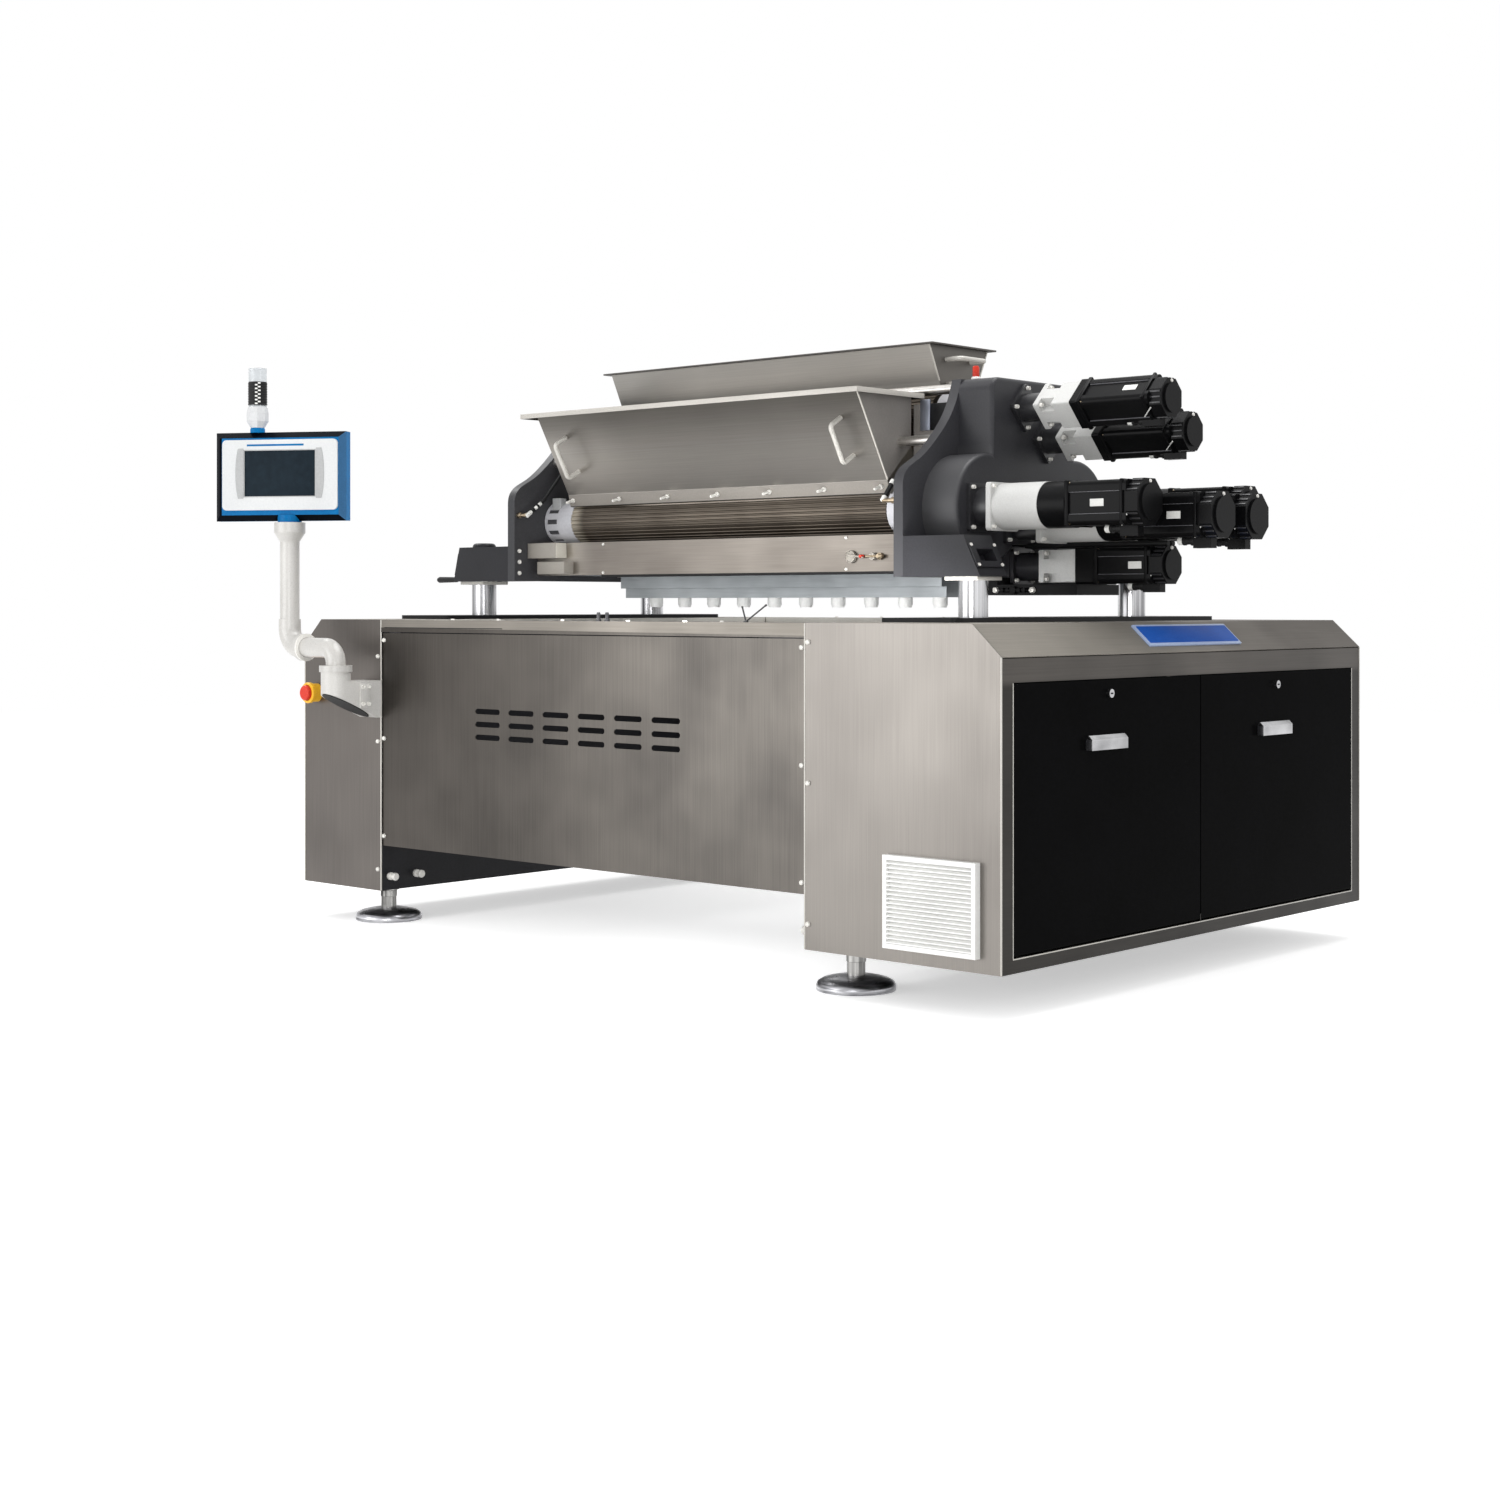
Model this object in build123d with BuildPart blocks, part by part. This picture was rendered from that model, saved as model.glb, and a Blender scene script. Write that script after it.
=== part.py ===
from build123d import *
import os
from math import cos, radians, sin

# Three hopper roller depositor for cookie dough. Millimetres, x along the rollers, y along the bake
# band with the operator side at -y, z up. The origin is on the floor under the middle of the head.

# Base: two cabinets joined by a front and a back panel
half_depth = 908
cabinet_bottom = 110
cabinet_top = 945
right_inner = 841
right_outer = 1456
left_inner = -879
left_outer = -1265
edge_run = 85
edge_drop = 78
sheet = 3
panel_bottom = 250
panel_back = 4
rail_bottom = 907
seam = 3
rail_depth = 40
bar = 50
foot_right = 908
foot_left = -999
foot_y = 782
pad_r = 103
pad_edge = 13
pad_neck_r = 34
pad_height = 36
stem_r = 20
nut_r = 32
nut_height = 18
right_rail_width = 70
left_rail_width = 45
right_rail_x = 1318
left_rail_x = -1170
cross_y = (840, 890)
cross_low = 300
cross_high = 840
cross_height = 60

# Doors on the right end
door_thick = 20
door_half = 860
door_low = 145
door_high = 805
door_gap = 2.5
pivot_in = 6
pivot_up = 155
pivot_r = 4
pull_length = 164
pull_y = (-466, 387)
pull_z = (628, 665)
pull_slope = 10
pull_proud = 18
pull_wall = 3.5
pivot_bore = 24
lock_y = (-449, 401)
lock_z = 768
lock_r = 8
lock_face = 12
cam_back = 10
cam_reach = 56
post_thick = 11
post_half = 15
post_gap = 3

# Lifting columns
column_x = 993
column_y = 391
column_r = 40
column_hole_r = 42
column_foot = 450
flange_side = 108
flange_thick = 10
running_gap = 0.05
deck_thick = 12

# Head side plates and drive cover
plate_inner = 772
plate_outer = 804
head_bottom = 1067
plate_front = 456
plate_shoulder = 1314
plate_top = 1625
plate_top_half = 191
cover_face = 921
cover_wall = 10
cover_round = 12
tower_half = 204
tower_bottom = 1160
tower_corner = 40
lobe_y = 218
lobe_z = 1257
lobe_r = 153
bracket_y = (331, 456)
bracket_top = 1178

# Feed rollers: place of each axis and barrel radius
feed_r = 72
centre_r = 66
barrel_half = 644
journal_r = 22.5
flute_count = 36
flute_r = 3.2
roller_axes = {
    "front_outer_roller": (-258, 1258, feed_r),
    "front_inner_roller": (-88, 1227, feed_r),
    "centre_front_roller": (-55, 1545, centre_r),
    "centre_rear_roller": (55, 1461, centre_r),
    "rear_inner_roller": (88, 1227, feed_r),
    "rear_outer_roller": (258, 1258, feed_r),
}
bearing_r = 45
bearing_flange_r = 65
bearing_flange = 4
collar_start = 656
collar_step = 712
notch_count = 12
notch_depth = 30
notch_width = 15
collar_shrink = {feed_r: 70, centre_r: 60}
rotor_z = 1099
rotor_r = 30
rotor_journal_r = 17.5
rotor_web = 14
rotor_end = 8
slot_half = 620

# Drives: flange, gearhead and motor stations along x
round_drive = dict(neck=985, gear=1149, spacer=1235, end=1466)
long_drive = dict(neck=1031, gear=1220, spacer=1300, end=1582)
slant_drive = dict(neck=996, gear=1118, spacer=1140, end=1406)
low_drive = dict(neck=966, gear=1090, spacer=1150, end=1373)
round_flange = 132
slant_flange = 100
motor_side = 118
slant_motor_side = 100
low_mount_face = 870
low_mount_half = 55
low_mount_z = (1068, 1154)
adapter_flange = 12
shaft_room_r = 30

# Hoppers
hopper_end = 652
wall = 4
flange_sheet = 4
rim_lip = 14
hopper_top = 1590
front_flange_x = 685
front_flange_y = (-508, -206)
front_wall = [(-469, 1586), (-332, 1342), (-322, 1304)]
back_wall = [(-224, 1586), (-224, 1440), (-112, 1302)]
centre_top = 1744
centre_flange_x = 674
centre_flange_half = 155
centre_front_wall = [(-140, 1740), (-92, 1637), (-82, 1612)]
centre_rear_wall = [(140, 1740), (97, 1637), (106, 1512)]
hopper_lug = 40
handle_x = 562
handle_length = 118
handle_reach = 46
handle_r = 7
handle_bend = 12
end_handle_z = 1702

# Dough path under the rollers
beam_y = (-354, -290)
beam_z = (1085, 1188)
block_end = -639
block_proud = 46
block_low = 1139
manifold_top = 1150
manifold_half = 220
trough_half = 170
trough_deep = 12
slot_width = 24
die_half_x = 659
die_half_y = 91
die_step_y = 68
die_top = 1062
die_step_z = 1044
die_bottom = 1013
nozzle_count = 10
nozzle_pitch = 130
nozzle_r = 22
nozzle_tip = 983
spigot_r = 15
nozzle_bore_r = 9

# Operator arm, panel and emergency stop
socket_x = -924
socket_y = -1046
socket_r = 45
socket_bottom = 690
socket_top = 786
pipe_r = 30
run_z = 859
lower_bend = 47
mouth_x = -1090
pole_x = -1157
upper_bend = 60
pole_r = 30
pole_top = 1187
head_ring_top = 1247
panel_turn = 30
case_shift = -25.5
case_size = (432, 50, 276)
case_low = 1252
case_chamfer = 18
bezel_size = (382, 219)
bezel_middle = (5, 4.5)
screen_size = (235, 142)
screen_middle = (6, 9)
beacon_offset = -82
beacon_r = 28
estop_x = -1206
estop_z = 712

os.makedirs("parts", exist_ok=True)


def save(builder, name):
    """Label a finished piece and write it under its node name."""
    builder.part.label = name
    export_step(builder.part, f"parts/{name}.step")


def slab(x, y, z, mode=Mode.ADD):
    """A block between the lowest and highest x, y and z."""
    with Locations(((x[0] + x[1]) / 2, (y[0] + y[1]) / 2, (z[0] + z[1]) / 2)):
        Box(abs(x[1] - x[0]), abs(y[1] - y[0]), abs(z[1] - z[0]), mode=mode)


def rod_x(x, y, z, radius, mode=Mode.ADD):
    """A round bar along x."""
    with Locations(Location(((x[0] + x[1]) / 2, y, z), (0, 90, 0))):
        Cylinder(radius, abs(x[1] - x[0]), mode=mode)


def rod_y(x, y, z, radius, mode=Mode.ADD):
    """A round bar along y."""
    with Locations(Location((x, (y[0] + y[1]) / 2, z), (90, 0, 0))):
        Cylinder(radius, abs(y[1] - y[0]), mode=mode)


def rod_z(x, y, z, radius, mode=Mode.ADD):
    """A round bar along z."""
    with Locations((x, y, (z[0] + z[1]) / 2)):
        Cylinder(radius, abs(z[1] - z[0]), mode=mode)


def outline(plane, points):
    """A flat face with straight edges through the points."""
    with BuildSketch(plane) as shape:
        with BuildLine():
            Polyline(*points, close=True)
        make_face()
    return shape.sketch


def folded(plane, points, side, thickness):
    """A sheet section that follows the points, with its thickness to one side."""
    with BuildSketch(plane) as shape:
        with BuildLine():
            Polyline(*points)
            offset(amount=thickness, side=side, kind=Kind.INTERSECTION)
        make_face()
    return shape.sketch


def across_y(points, y0, y1):
    """Extrude an x-z outline from y0 to y1."""
    extrude(outline(Plane.XZ.offset(-y0), points), amount=y0 - y1)


def across_x(points, x0, x1, mode=Mode.ADD):
    """Extrude a y-z outline from x0 to x1."""
    extrude(outline(Plane.YZ.offset(x0), points), amount=x1 - x0, mode=mode)


def mirrored(pair):
    """The same span on the other side of a middle plane."""
    return (-pair[1], -pair[0])


# Feet: threaded stem with a lock nut, on a domed pad
feet = [(x, y) for x in (foot_right, foot_left) for y in (-foot_y, foot_y)]

with BuildPart() as one_pad:
    with BuildSketch(Plane.XZ):
        with BuildLine():
            Line((0, 0), (pad_r, 0))
            Line((pad_r, 0), (pad_r, pad_edge))
            Spline((pad_r, pad_edge), (62, 24), (pad_neck_r, pad_height), tangents=((-1, 0.15), (-0.5, 1)))
            Line((pad_neck_r, pad_height), (0, pad_height))
            Line((0, pad_height), (0, 0))
        make_face()
    revolve(axis=Axis.Z)

with BuildPart() as foot_pads:
    with Locations(*feet):
        add(one_pad.part)
save(foot_pads, "foot_pads")

with BuildPart() as foot_stems:
    for x, y in feet:
        rod_z(x, y, (pad_height, cabinet_bottom), stem_r)
        with BuildSketch(Plane.XY.offset(cabinet_bottom - nut_height)):
            with Locations((x, y)):
                RegularPolygon(nut_r, 6)
        extrude(amount=nut_height)
save(foot_stems, "foot_stems")

# Welded frames inside the cabinets
inside_y = half_depth - sheet
right_inside = right_inner + sheet
left_inside = left_inner - sheet
right_rails = [(right_inside, right_inside + right_rail_width), (right_rail_x, right_rail_x + bar)]
left_rails = [(left_inside - left_rail_width, left_inside), (left_rail_x, left_rail_x + bar)]
low_rail = (cabinet_bottom, cabinet_bottom + bar)
high_rail = (cabinet_top - sheet - bar, cabinet_top - sheet)
with BuildPart() as cabinet_frames:
    for pair in (right_rails, left_rails):
        for x in pair:
            slab(x, (-inside_y, inside_y), low_rail)
            slab(x, (-inside_y, inside_y), high_rail)
            slab(x, (-inside_y, -inside_y + bar), (low_rail[1], high_rail[0]))
            slab(x, (inside_y - bar, inside_y), (low_rail[1], high_rail[0]))
        span = (min(pair[0] + pair[1]), max(pair[0] + pair[1]))
        for y in (-foot_y, -column_y, column_y, foot_y):
            slab(span, (y - bar / 2, y + bar / 2), low_rail)
save(cabinet_frames, "cabinet_frames")

# Cross members that tie the two cabinets together behind the panels
with BuildPart() as cross_members:
    for y in (cross_y, mirrored(cross_y)):
        for z in (cross_low, cross_high):
            slab((left_inside, right_inside), y, (z, z + cross_height))
save(cross_members, "cross_members")

# Cabinet sheets
right_end = [
    (right_inner, cabinet_bottom),
    (right_outer, cabinet_bottom),
    (right_outer, cabinet_top - edge_drop),
    (right_outer - edge_run, cabinet_top),
    (right_inner, cabinet_top),
]
left_end = [
    (left_inner, cabinet_bottom),
    (left_outer, cabinet_bottom),
    (left_outer, cabinet_top - edge_drop),
    (left_outer + edge_run, cabinet_top),
    (left_inner, cabinet_top),
]
with BuildPart() as cabinet_end_sheets:
    for shape in (right_end, left_end):
        across_y(shape, -half_depth, -inside_y)
        across_y(shape, inside_y, half_depth)
save(cabinet_end_sheets, "cabinet_end_sheets")

columns_at = [(x, y) for x in (column_x, -column_x) for y in (-column_y, column_y)]
with BuildPart() as cabinet_tops:
    front = Plane.XZ.offset(inside_y)
    right_top = folded(front, right_end[:1:-1], Side.RIGHT, sheet)
    left_top = folded(front, left_end[:0:-1], Side.LEFT, sheet)
    extrude(right_top, amount=-2 * inside_y)
    extrude(left_top, amount=-2 * inside_y)
    for x, y in columns_at:
        rod_z(x, y, (cabinet_top - sheet, cabinet_top), column_hole_r, Mode.SUBTRACT)
save(cabinet_tops, "cabinet_tops")

notch_z = cross_low - 10
notch_y = cross_y[0] - 10
with BuildPart() as cabinet_side_sheets:
    for x in ((right_inner, right_inner + sheet), (left_inner - sheet, left_inner)):
        slab(x, (-inside_y, inside_y), (cabinet_bottom, notch_z))
        slab(x, (-notch_y, notch_y), (notch_z, cabinet_top - sheet))
save(cabinet_side_sheets, "cabinet_side_sheets")

# Door surround: folded rim round one opening, with a lug and a stop post between the two doors
side_top = cabinet_top - edge_drop - 4
rim_back = right_outer - door_thick
pivot_x = right_outer - pivot_in
with BuildPart() as door_surround:
    slab((rim_back, right_outer), (-inside_y, inside_y), (cabinet_bottom, side_top))
    slab((rim_back, right_outer), (-door_half, door_half), (door_low, door_high), Mode.SUBTRACT)
    for y in ((-inside_y + sheet, -door_half - sheet), (door_half + sheet, inside_y - sheet)):
        slab((rim_back, right_outer - sheet), y, (cabinet_bottom + sheet, side_top - sheet), Mode.SUBTRACT)
    for z in ((cabinet_bottom + sheet, door_low - sheet), (door_high + sheet, side_top - sheet)):
        slab((rim_back, right_outer - sheet), (-door_half, door_half), z, Mode.SUBTRACT)
    slab((rim_back, right_outer), (-sheet / 2, sheet / 2), (door_low - sheet, pivot_up + 10))
    post_back = rim_back - post_thick
    post_y = (-post_half, post_half)
    slab((post_back, rim_back - post_gap), post_y, (door_low - sheet, door_high + sheet))
    for z in ((door_low - sheet, door_low), (door_high, door_high + sheet)):
        slab((post_back, rim_back + sheet), post_y, z)
    rod_y(pivot_x, (-door_half - sheet, door_half + sheet), pivot_up, pivot_r, Mode.SUBTRACT)
save(door_surround, "door_surround")

pin_reach = 22
pin_ends = [(-door_half - sheet, -door_half + pin_reach), (-pin_reach, pin_reach)]
pin_ends.append((door_half - pin_reach, door_half + sheet))
with BuildPart() as door_pivot_pins:
    for y in pin_ends:
        rod_y(pivot_x, y, pivot_up, pivot_r)
save(door_pivot_pins, "door_pivot_pins")

# Flap doors, hung at the bottom, with a rounded foot that turns about the pivot
door_bottom = pivot_up - pivot_in
doors = {
    "front": (-door_half + door_gap, -door_gap),
    "rear": (door_gap, door_half - door_gap),
}
for index, (where, span) in enumerate(doors.items()):
    with BuildPart() as door:
        slab((rim_back, right_outer), span, (door_bottom, door_high - door_gap))
        foot = door.edges().filter_by(Axis.Y).group_by(Axis.Z)[0].sort_by(Axis.X)[-1]
        fillet(foot, pivot_in - 0.2)
        for y in span:
            inward = 1 if y == span[0] else -1
            bore_y = (y, y + inward * pivot_bore)
            rod_y(pivot_x, bore_y, pivot_up, pivot_r + running_gap, Mode.SUBTRACT)
        rod_x((rim_back - 1, right_outer + 1), lock_y[index], lock_z, lock_r + running_gap, Mode.SUBTRACT)
    save(door, f"{where}_door")

    # Chrome hood pull, open underneath for the fingers
    with BuildPart() as pull:
        y0 = pull_y[index] - pull_length / 2
        y1 = pull_y[index] + pull_length / 2
        slab((right_outer, right_outer + pull_proud), (y0, y1), pull_z)
        chamfer(pull.edges().filter_by(Axis.Y).group_by(Axis.Z)[-1].sort_by(Axis.X)[-1], pull_slope)
        pocket_x = (right_outer, right_outer + pull_proud - pull_wall)
        pocket_z = (pull_z[0], pull_z[1] - 4 * pull_wall)
        slab(pocket_x, (y0 + 2 * pull_wall, y1 - 2 * pull_wall), pocket_z, Mode.SUBTRACT)
    save(pull, f"{where}_door_pull")

    # Quarter-turn lock: barrel, key face and the cam behind the door
    with BuildPart() as lock:
        y = lock_y[index]
        rod_x((rim_back - cam_back, right_outer + 0.2), y, lock_z, lock_r)
        rod_x((right_outer + 0.2, right_outer + lock_face), y, lock_z, lock_r + 3)
        key_x = (right_outer + lock_face - 2, right_outer + lock_face)
        slab(key_x, (y - 6, y + 6), (lock_z - 1, lock_z + 1), Mode.SUBTRACT)
        cam_x = (rim_back - cam_back, rim_back - cam_back / 2)
        slab(cam_x, (y - lock_r, y + cam_reach), (lock_z - lock_r, lock_z + lock_r))
    save(lock, f"{where}_door_lock")

# Panels and rails between the cabinets
slot_rows = 3
slots_per_row = 6
slot_size = (108, 16)
slot_pitch = (146, 38)
slot_centre = (-24, 639)
panel_y = half_depth - panel_back
with BuildPart() as centre_panels:
    for y in ((-panel_y, -panel_y + sheet), (panel_y - sheet, panel_y)):
        slab((left_inner, right_inner), y, (panel_bottom, rail_bottom - seam))
    with BuildSketch(Plane.XZ.offset(panel_y)):
        with Locations(slot_centre):
            with GridLocations(*slot_pitch, slots_per_row, slot_rows):
                SlotOverall(*slot_size)
    extrude(amount=-sheet, mode=Mode.SUBTRACT)
save(centre_panels, "centre_panels")

with BuildPart() as top_rails:
    for y in ((-half_depth, -half_depth + rail_depth), (half_depth - rail_depth, half_depth)):
        slab((left_inner, right_inner), y, (rail_bottom, cabinet_top))
        hollow_y = (y[0] + sheet, y[1] - sheet)
        slab((left_inner, right_inner), hollow_y, (rail_bottom + sheet, cabinet_top - sheet), Mode.SUBTRACT)
save(top_rails, "top_rails")

# Louvred vent cover on the right cabinet
vent_x = (1111, 1394)
vent_z = (145, 375)
vent_proud = 20
vent_back = 5
vent_rim = 12
louvres = 19
vent_y = (-half_depth - vent_proud, -half_depth - vent_back)
with BuildPart() as vent_grille:
    slab(vent_x, (vent_y[1], -half_depth), vent_z)
    step = (vent_z[1] - vent_z[0] - 2 * vent_rim) / louvres
    for row in range(louvres):
        low = vent_z[0] + vent_rim + row * step
        blade = [(vent_y[1], low), (vent_y[0], low + 1), (vent_y[0], low + 4), (vent_y[1], low + step - 1)]
        across_x(blade, vent_x[0] + vent_rim, vent_x[1] - vent_rim)
    slab((vent_x[0], vent_x[0] + vent_rim), vent_y, vent_z)
    slab((vent_x[1] - vent_rim, vent_x[1]), vent_y, vent_z)
    slab(vent_x, vent_y, (vent_z[0], vent_z[0] + vent_rim))
    slab(vent_x, vent_y, (vent_z[1] - vent_rim, vent_z[1]))
save(vent_grille, "vent_grille")

# Servo drives on a back plate behind the doors
drive_count = 7
drive_pitch = 92
drive_width = 70
drive_depth = 150
drive_z = (420, 640)
drive_plate_x = 1090
drive_plate_half = 400
drive_plate_top = 780
with BuildPart() as servo_drives:
    plate_x = (drive_plate_x, drive_plate_x + sheet)
    slab(plate_x, (-drive_plate_half, drive_plate_half), (low_rail[1], drive_plate_top))
    for index in range(drive_count):
        middle = (index - (drive_count - 1) / 2) * drive_pitch
        side = drive_width / 2
        slab((drive_plate_x, drive_plate_x + drive_depth), (middle - side, middle + side), drive_z)
save(servo_drives, "servo_drives")

# Deck plates, column bushes and the housings that the columns slide in
right_deck_x = (866, 1126)
left_deck_x = (-1126, -890)
deck_half = 640
deck_corner = 24
with BuildPart() as deck_plates:
    for x in (right_deck_x, left_deck_x):
        slab(x, (-deck_half, deck_half), (cabinet_top, cabinet_top + deck_thick))
    fillet(deck_plates.edges().filter_by(Axis.Z), deck_corner)
    for x, y in columns_at:
        rod_z(x, y, (cabinet_top, cabinet_top + deck_thick), column_hole_r, Mode.SUBTRACT)
save(deck_plates, "deck_plates")

bush_foot = 850
bush_r = 55
bush_flange_r = 60
bush_flange = 12
housing_bore_r = 48
under_top = cabinet_top - sheet
with BuildPart() as column_bushes:
    for x, y in columns_at:
        rod_z(x, y, (under_top - bush_flange, under_top), bush_flange_r)
        rod_z(x, y, (bush_foot, under_top - bush_flange), bush_r)
    for x, y in columns_at:
        rod_z(x, y, (bush_foot, under_top), column_r + running_gap, Mode.SUBTRACT)
save(column_bushes, "column_bushes")

with BuildPart() as lift_housings:
    for x, y in columns_at:
        rod_z(x, y, (low_rail[1], bush_foot), bush_r)
    for x, y in columns_at:
        rod_z(x, y, (low_rail[1] + bush_flange, bush_foot), housing_bore_r, Mode.SUBTRACT)
save(lift_housings, "lift_housings")

with BuildPart() as columns:
    for x, y in columns_at:
        rod_z(x, y, (column_foot, head_bottom - flange_thick), column_r)
        side = flange_side / 2
        slab((x - side, x + side), (y - side, y + side), (head_bottom - flange_thick, head_bottom))
save(columns, "columns")

# Brackets from the side plates to the columns, with an inspection window in the slanted face
bracket_feet = {1: (1063, 1007), -1: (-1070, -1042)}
window_size = (74, 36)
window_depth = 30
lever_x = -1092
lever_y = -393
lever_pin_r = 4
lever_hub_r = 12
lug_half = 14
lug_thick = 12
boss_r = 38
boss_height = 14
lug_low = head_bottom + 14
with BuildPart() as column_brackets:
    for side, (low_x, high_x) in bracket_feet.items():
        shape = [
            (side * plate_outer, head_bottom),
            (low_x, head_bottom),
            (high_x, bracket_top),
            (side * plate_outer, bracket_top),
        ]
        slant = Vector(side * (bracket_top - head_bottom), 0, side * (low_x - high_x)).normalized()
        for y in (bracket_y, mirrored(bracket_y)):
            across_y(shape, y[0], y[1])
            middle = Vector((low_x + high_x) / 2, sum(y) / 2, (head_bottom + bracket_top) / 2)
            with BuildSketch(Plane(origin=middle, x_dir=(0, 1, 0), z_dir=slant)):
                Rectangle(*window_size)
            extrude(amount=-window_depth, mode=Mode.SUBTRACT)
    for y in (-column_y, column_y):
        rod_z(-column_x, y, (bracket_top, bracket_top + boss_height), boss_r)
    fillet(column_brackets.edges().group_by(Axis.Z)[-1], boss_height - 2)
    lug_x = (lever_x - lug_half, bracket_feet[-1][0] + lug_half)
    lug_z = (lug_low, lug_low + lug_thick)
    slab(lug_x, (lever_y - lug_half, lever_y + lug_half), lug_z)
    rod_z(lever_x, lever_y, lug_z, lever_pin_r + running_gap, Mode.SUBTRACT)
save(column_brackets, "column_brackets")

lever_z = lug_low - 7
lever_length = 112
lever_end_r = 8
with BuildPart() as clamp_lever:
    rod_z(lever_x, lever_y, (lug_low - 14, lug_low - 0.4), lever_hub_r)
    rod_z(lever_x, lever_y, (lug_low - 1, lug_low + lug_thick), lever_pin_r)
    with Locations(Location((lever_x - lever_length / 2, lever_y, lever_z), (0, 90, 0))):
        Cone(lever_end_r, lever_end_r - 2, lever_length)
    with Locations((lever_x - lever_length, lever_y, lever_z)):
        Sphere(lever_end_r - 0.1)
save(clamp_lever, "clamp_lever")

# Cast side plates with the ogee outline and their bearing holes
def plate_section(x):
    """The plate's outline in the y-z plane, with the bearing holes."""
    with BuildSketch(Plane.YZ.offset(x)) as shape:
        with BuildLine():
            Line((0, head_bottom), (-plate_front, head_bottom))
            Line((-plate_front, head_bottom), (-plate_front, plate_shoulder))
            Spline(
                (-plate_front, plate_shoulder),
                (-389, 1389),
                (-314, 1443),
                (-230, 1535),
                (-plate_top_half, plate_top),
                tangents=((0, 1), (0.3, 1)),
            )
            Line((-plate_top_half, plate_top), (0, plate_top))
            mirror(about=Plane.YZ)
        make_face()
        for y, z, _ in roller_axes.values():
            with Locations((y, z)):
                Circle(bearing_r, mode=Mode.SUBTRACT)
    return shape.sketch


with BuildPart() as right_side_plate:
    extrude(plate_section(plate_inner), amount=plate_outer - plate_inner)
    rod_x((plate_inner, plate_outer), 0, rotor_z, shaft_room_r, Mode.SUBTRACT)
save(right_side_plate, "right_side_plate")

with BuildPart() as left_side_plate:
    extrude(plate_section(-plate_outer), amount=plate_outer - plate_inner)
save(left_side_plate, "left_side_plate")

# Cast drive cover: a tower and two round lobes, hollow and open towards the plate
def cover_section(x, inset):
    """The cover's outline, or the outline of the space inside it."""
    with BuildSketch(Plane.YZ.offset(x)) as shape:
        tower_height = plate_top - tower_bottom
        with Locations((0, tower_bottom + tower_height / 2)):
            RectangleRounded(2 * (tower_half - inset), tower_height - 2 * inset, tower_corner - inset)
        with Locations((-lobe_y, lobe_z), (lobe_y, lobe_z)):
            Circle(lobe_r - inset)
        with Locations((0, (tower_bottom + lobe_z) / 2)):
            Rectangle(2 * lobe_y, lobe_z - tower_bottom - 2 * inset)
    return shape.sketch


with BuildPart() as gear_cover:
    cover_depth = cover_face - plate_outer
    extrude(cover_section(plate_outer, 0), amount=cover_depth)
    fillet(gear_cover.faces().sort_by(Axis.X)[-1].edges(), cover_round)
    hollow = cover_section(plate_outer, cover_wall)
    extrude(hollow, amount=cover_depth - cover_wall, mode=Mode.SUBTRACT)
    for y in (bracket_y, mirrored(bracket_y)):
        slab((plate_outer, cover_face), y, (head_bottom, bracket_top), Mode.SUBTRACT)
    for y, z, _ in roller_axes.values():
        rod_x((cover_face - cover_wall, cover_face), y, z, shaft_room_r, Mode.SUBTRACT)
save(gear_cover, "gear_cover")

# Bearings in the plates and white collars between the plates and the barrels
with BuildPart() as roller_bearings:
    for side in (-1, 1):
        for y, z, _ in roller_axes.values():
            rod_x((side * plate_inner, side * plate_outer), y, z, bearing_r)
            rod_x((side * (plate_inner - bearing_flange), side * plate_inner), y, z, bearing_flange_r)
            bore_x = (side * (plate_inner - bearing_flange), side * plate_outer)
            rod_x(bore_x, y, z, journal_r + running_gap, Mode.SUBTRACT)
save(roller_bearings, "roller_bearings")

def castle_section(x, y, z, radius):
    """A ring with notches round its edge."""
    with BuildSketch(Plane.YZ.offset(x)) as shape:
        with Locations((y, z)):
            Circle(radius - 1)
            with PolarLocations(radius, notch_count):
                Rectangle(notch_depth, notch_width, mode=Mode.SUBTRACT)
    return shape.sketch


with BuildPart() as end_collars:
    for side in (-1, 1):
        ends = (side * collar_start, side * collar_step)
        hub_length = plate_inner - bearing_flange - collar_step
        for y, z, radius in roller_axes.values():
            collar_r = collar_shrink[radius]
            rod_x(ends, y, z, collar_r)
            extrude(castle_section(side * collar_step, y, z, collar_r), amount=side * hub_length)
            rod_x((ends[0], side * (plate_inner - bearing_flange)), y, z, journal_r + 1, Mode.SUBTRACT)
save(end_collars, "end_collars")

# Drives: adapter, gearhead and servo motor for each roller and for the rotor
drives = []
for name, (y, z, radius) in roller_axes.items():
    if radius == centre_r:
        drives.append((y, z, slant_drive, 45))
    elif name.endswith("outer_roller"):
        drives.append((y, z, round_drive, 0))
    else:
        drives.append((y, z, long_drive, 0))
drives.append((0, rotor_z, low_drive, 0))


def square_at(x, y, z, side, turn, corner):
    """A square with rounded corners across the drive's axis."""
    with BuildSketch(Plane.YZ.offset(x)) as shape:
        with Locations(Location((y, z), turn)):
            RectangleRounded(side, side, corner)
    return shape.sketch


with BuildPart() as motor_adapters:
    for y, z, drive, turn in drives:
        low = drive is low_drive
        side = round_flange if drive in (round_drive, long_drive) else slant_flange
        face = low_mount_face if low else cover_face
        if low:
            slab((plate_outer, face), (y - low_mount_half, y + low_mount_half), low_mount_z)
        extrude(square_at(face, y, z, side, turn, 8), amount=adapter_flange)
        rod_x((face + adapter_flange, drive["neck"]), y, z, side / 2 - 10)
        rod_x((plate_outer, drive["neck"]), y, z, shaft_room_r, Mode.SUBTRACT)
save(motor_adapters, "motor_adapters")

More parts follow.
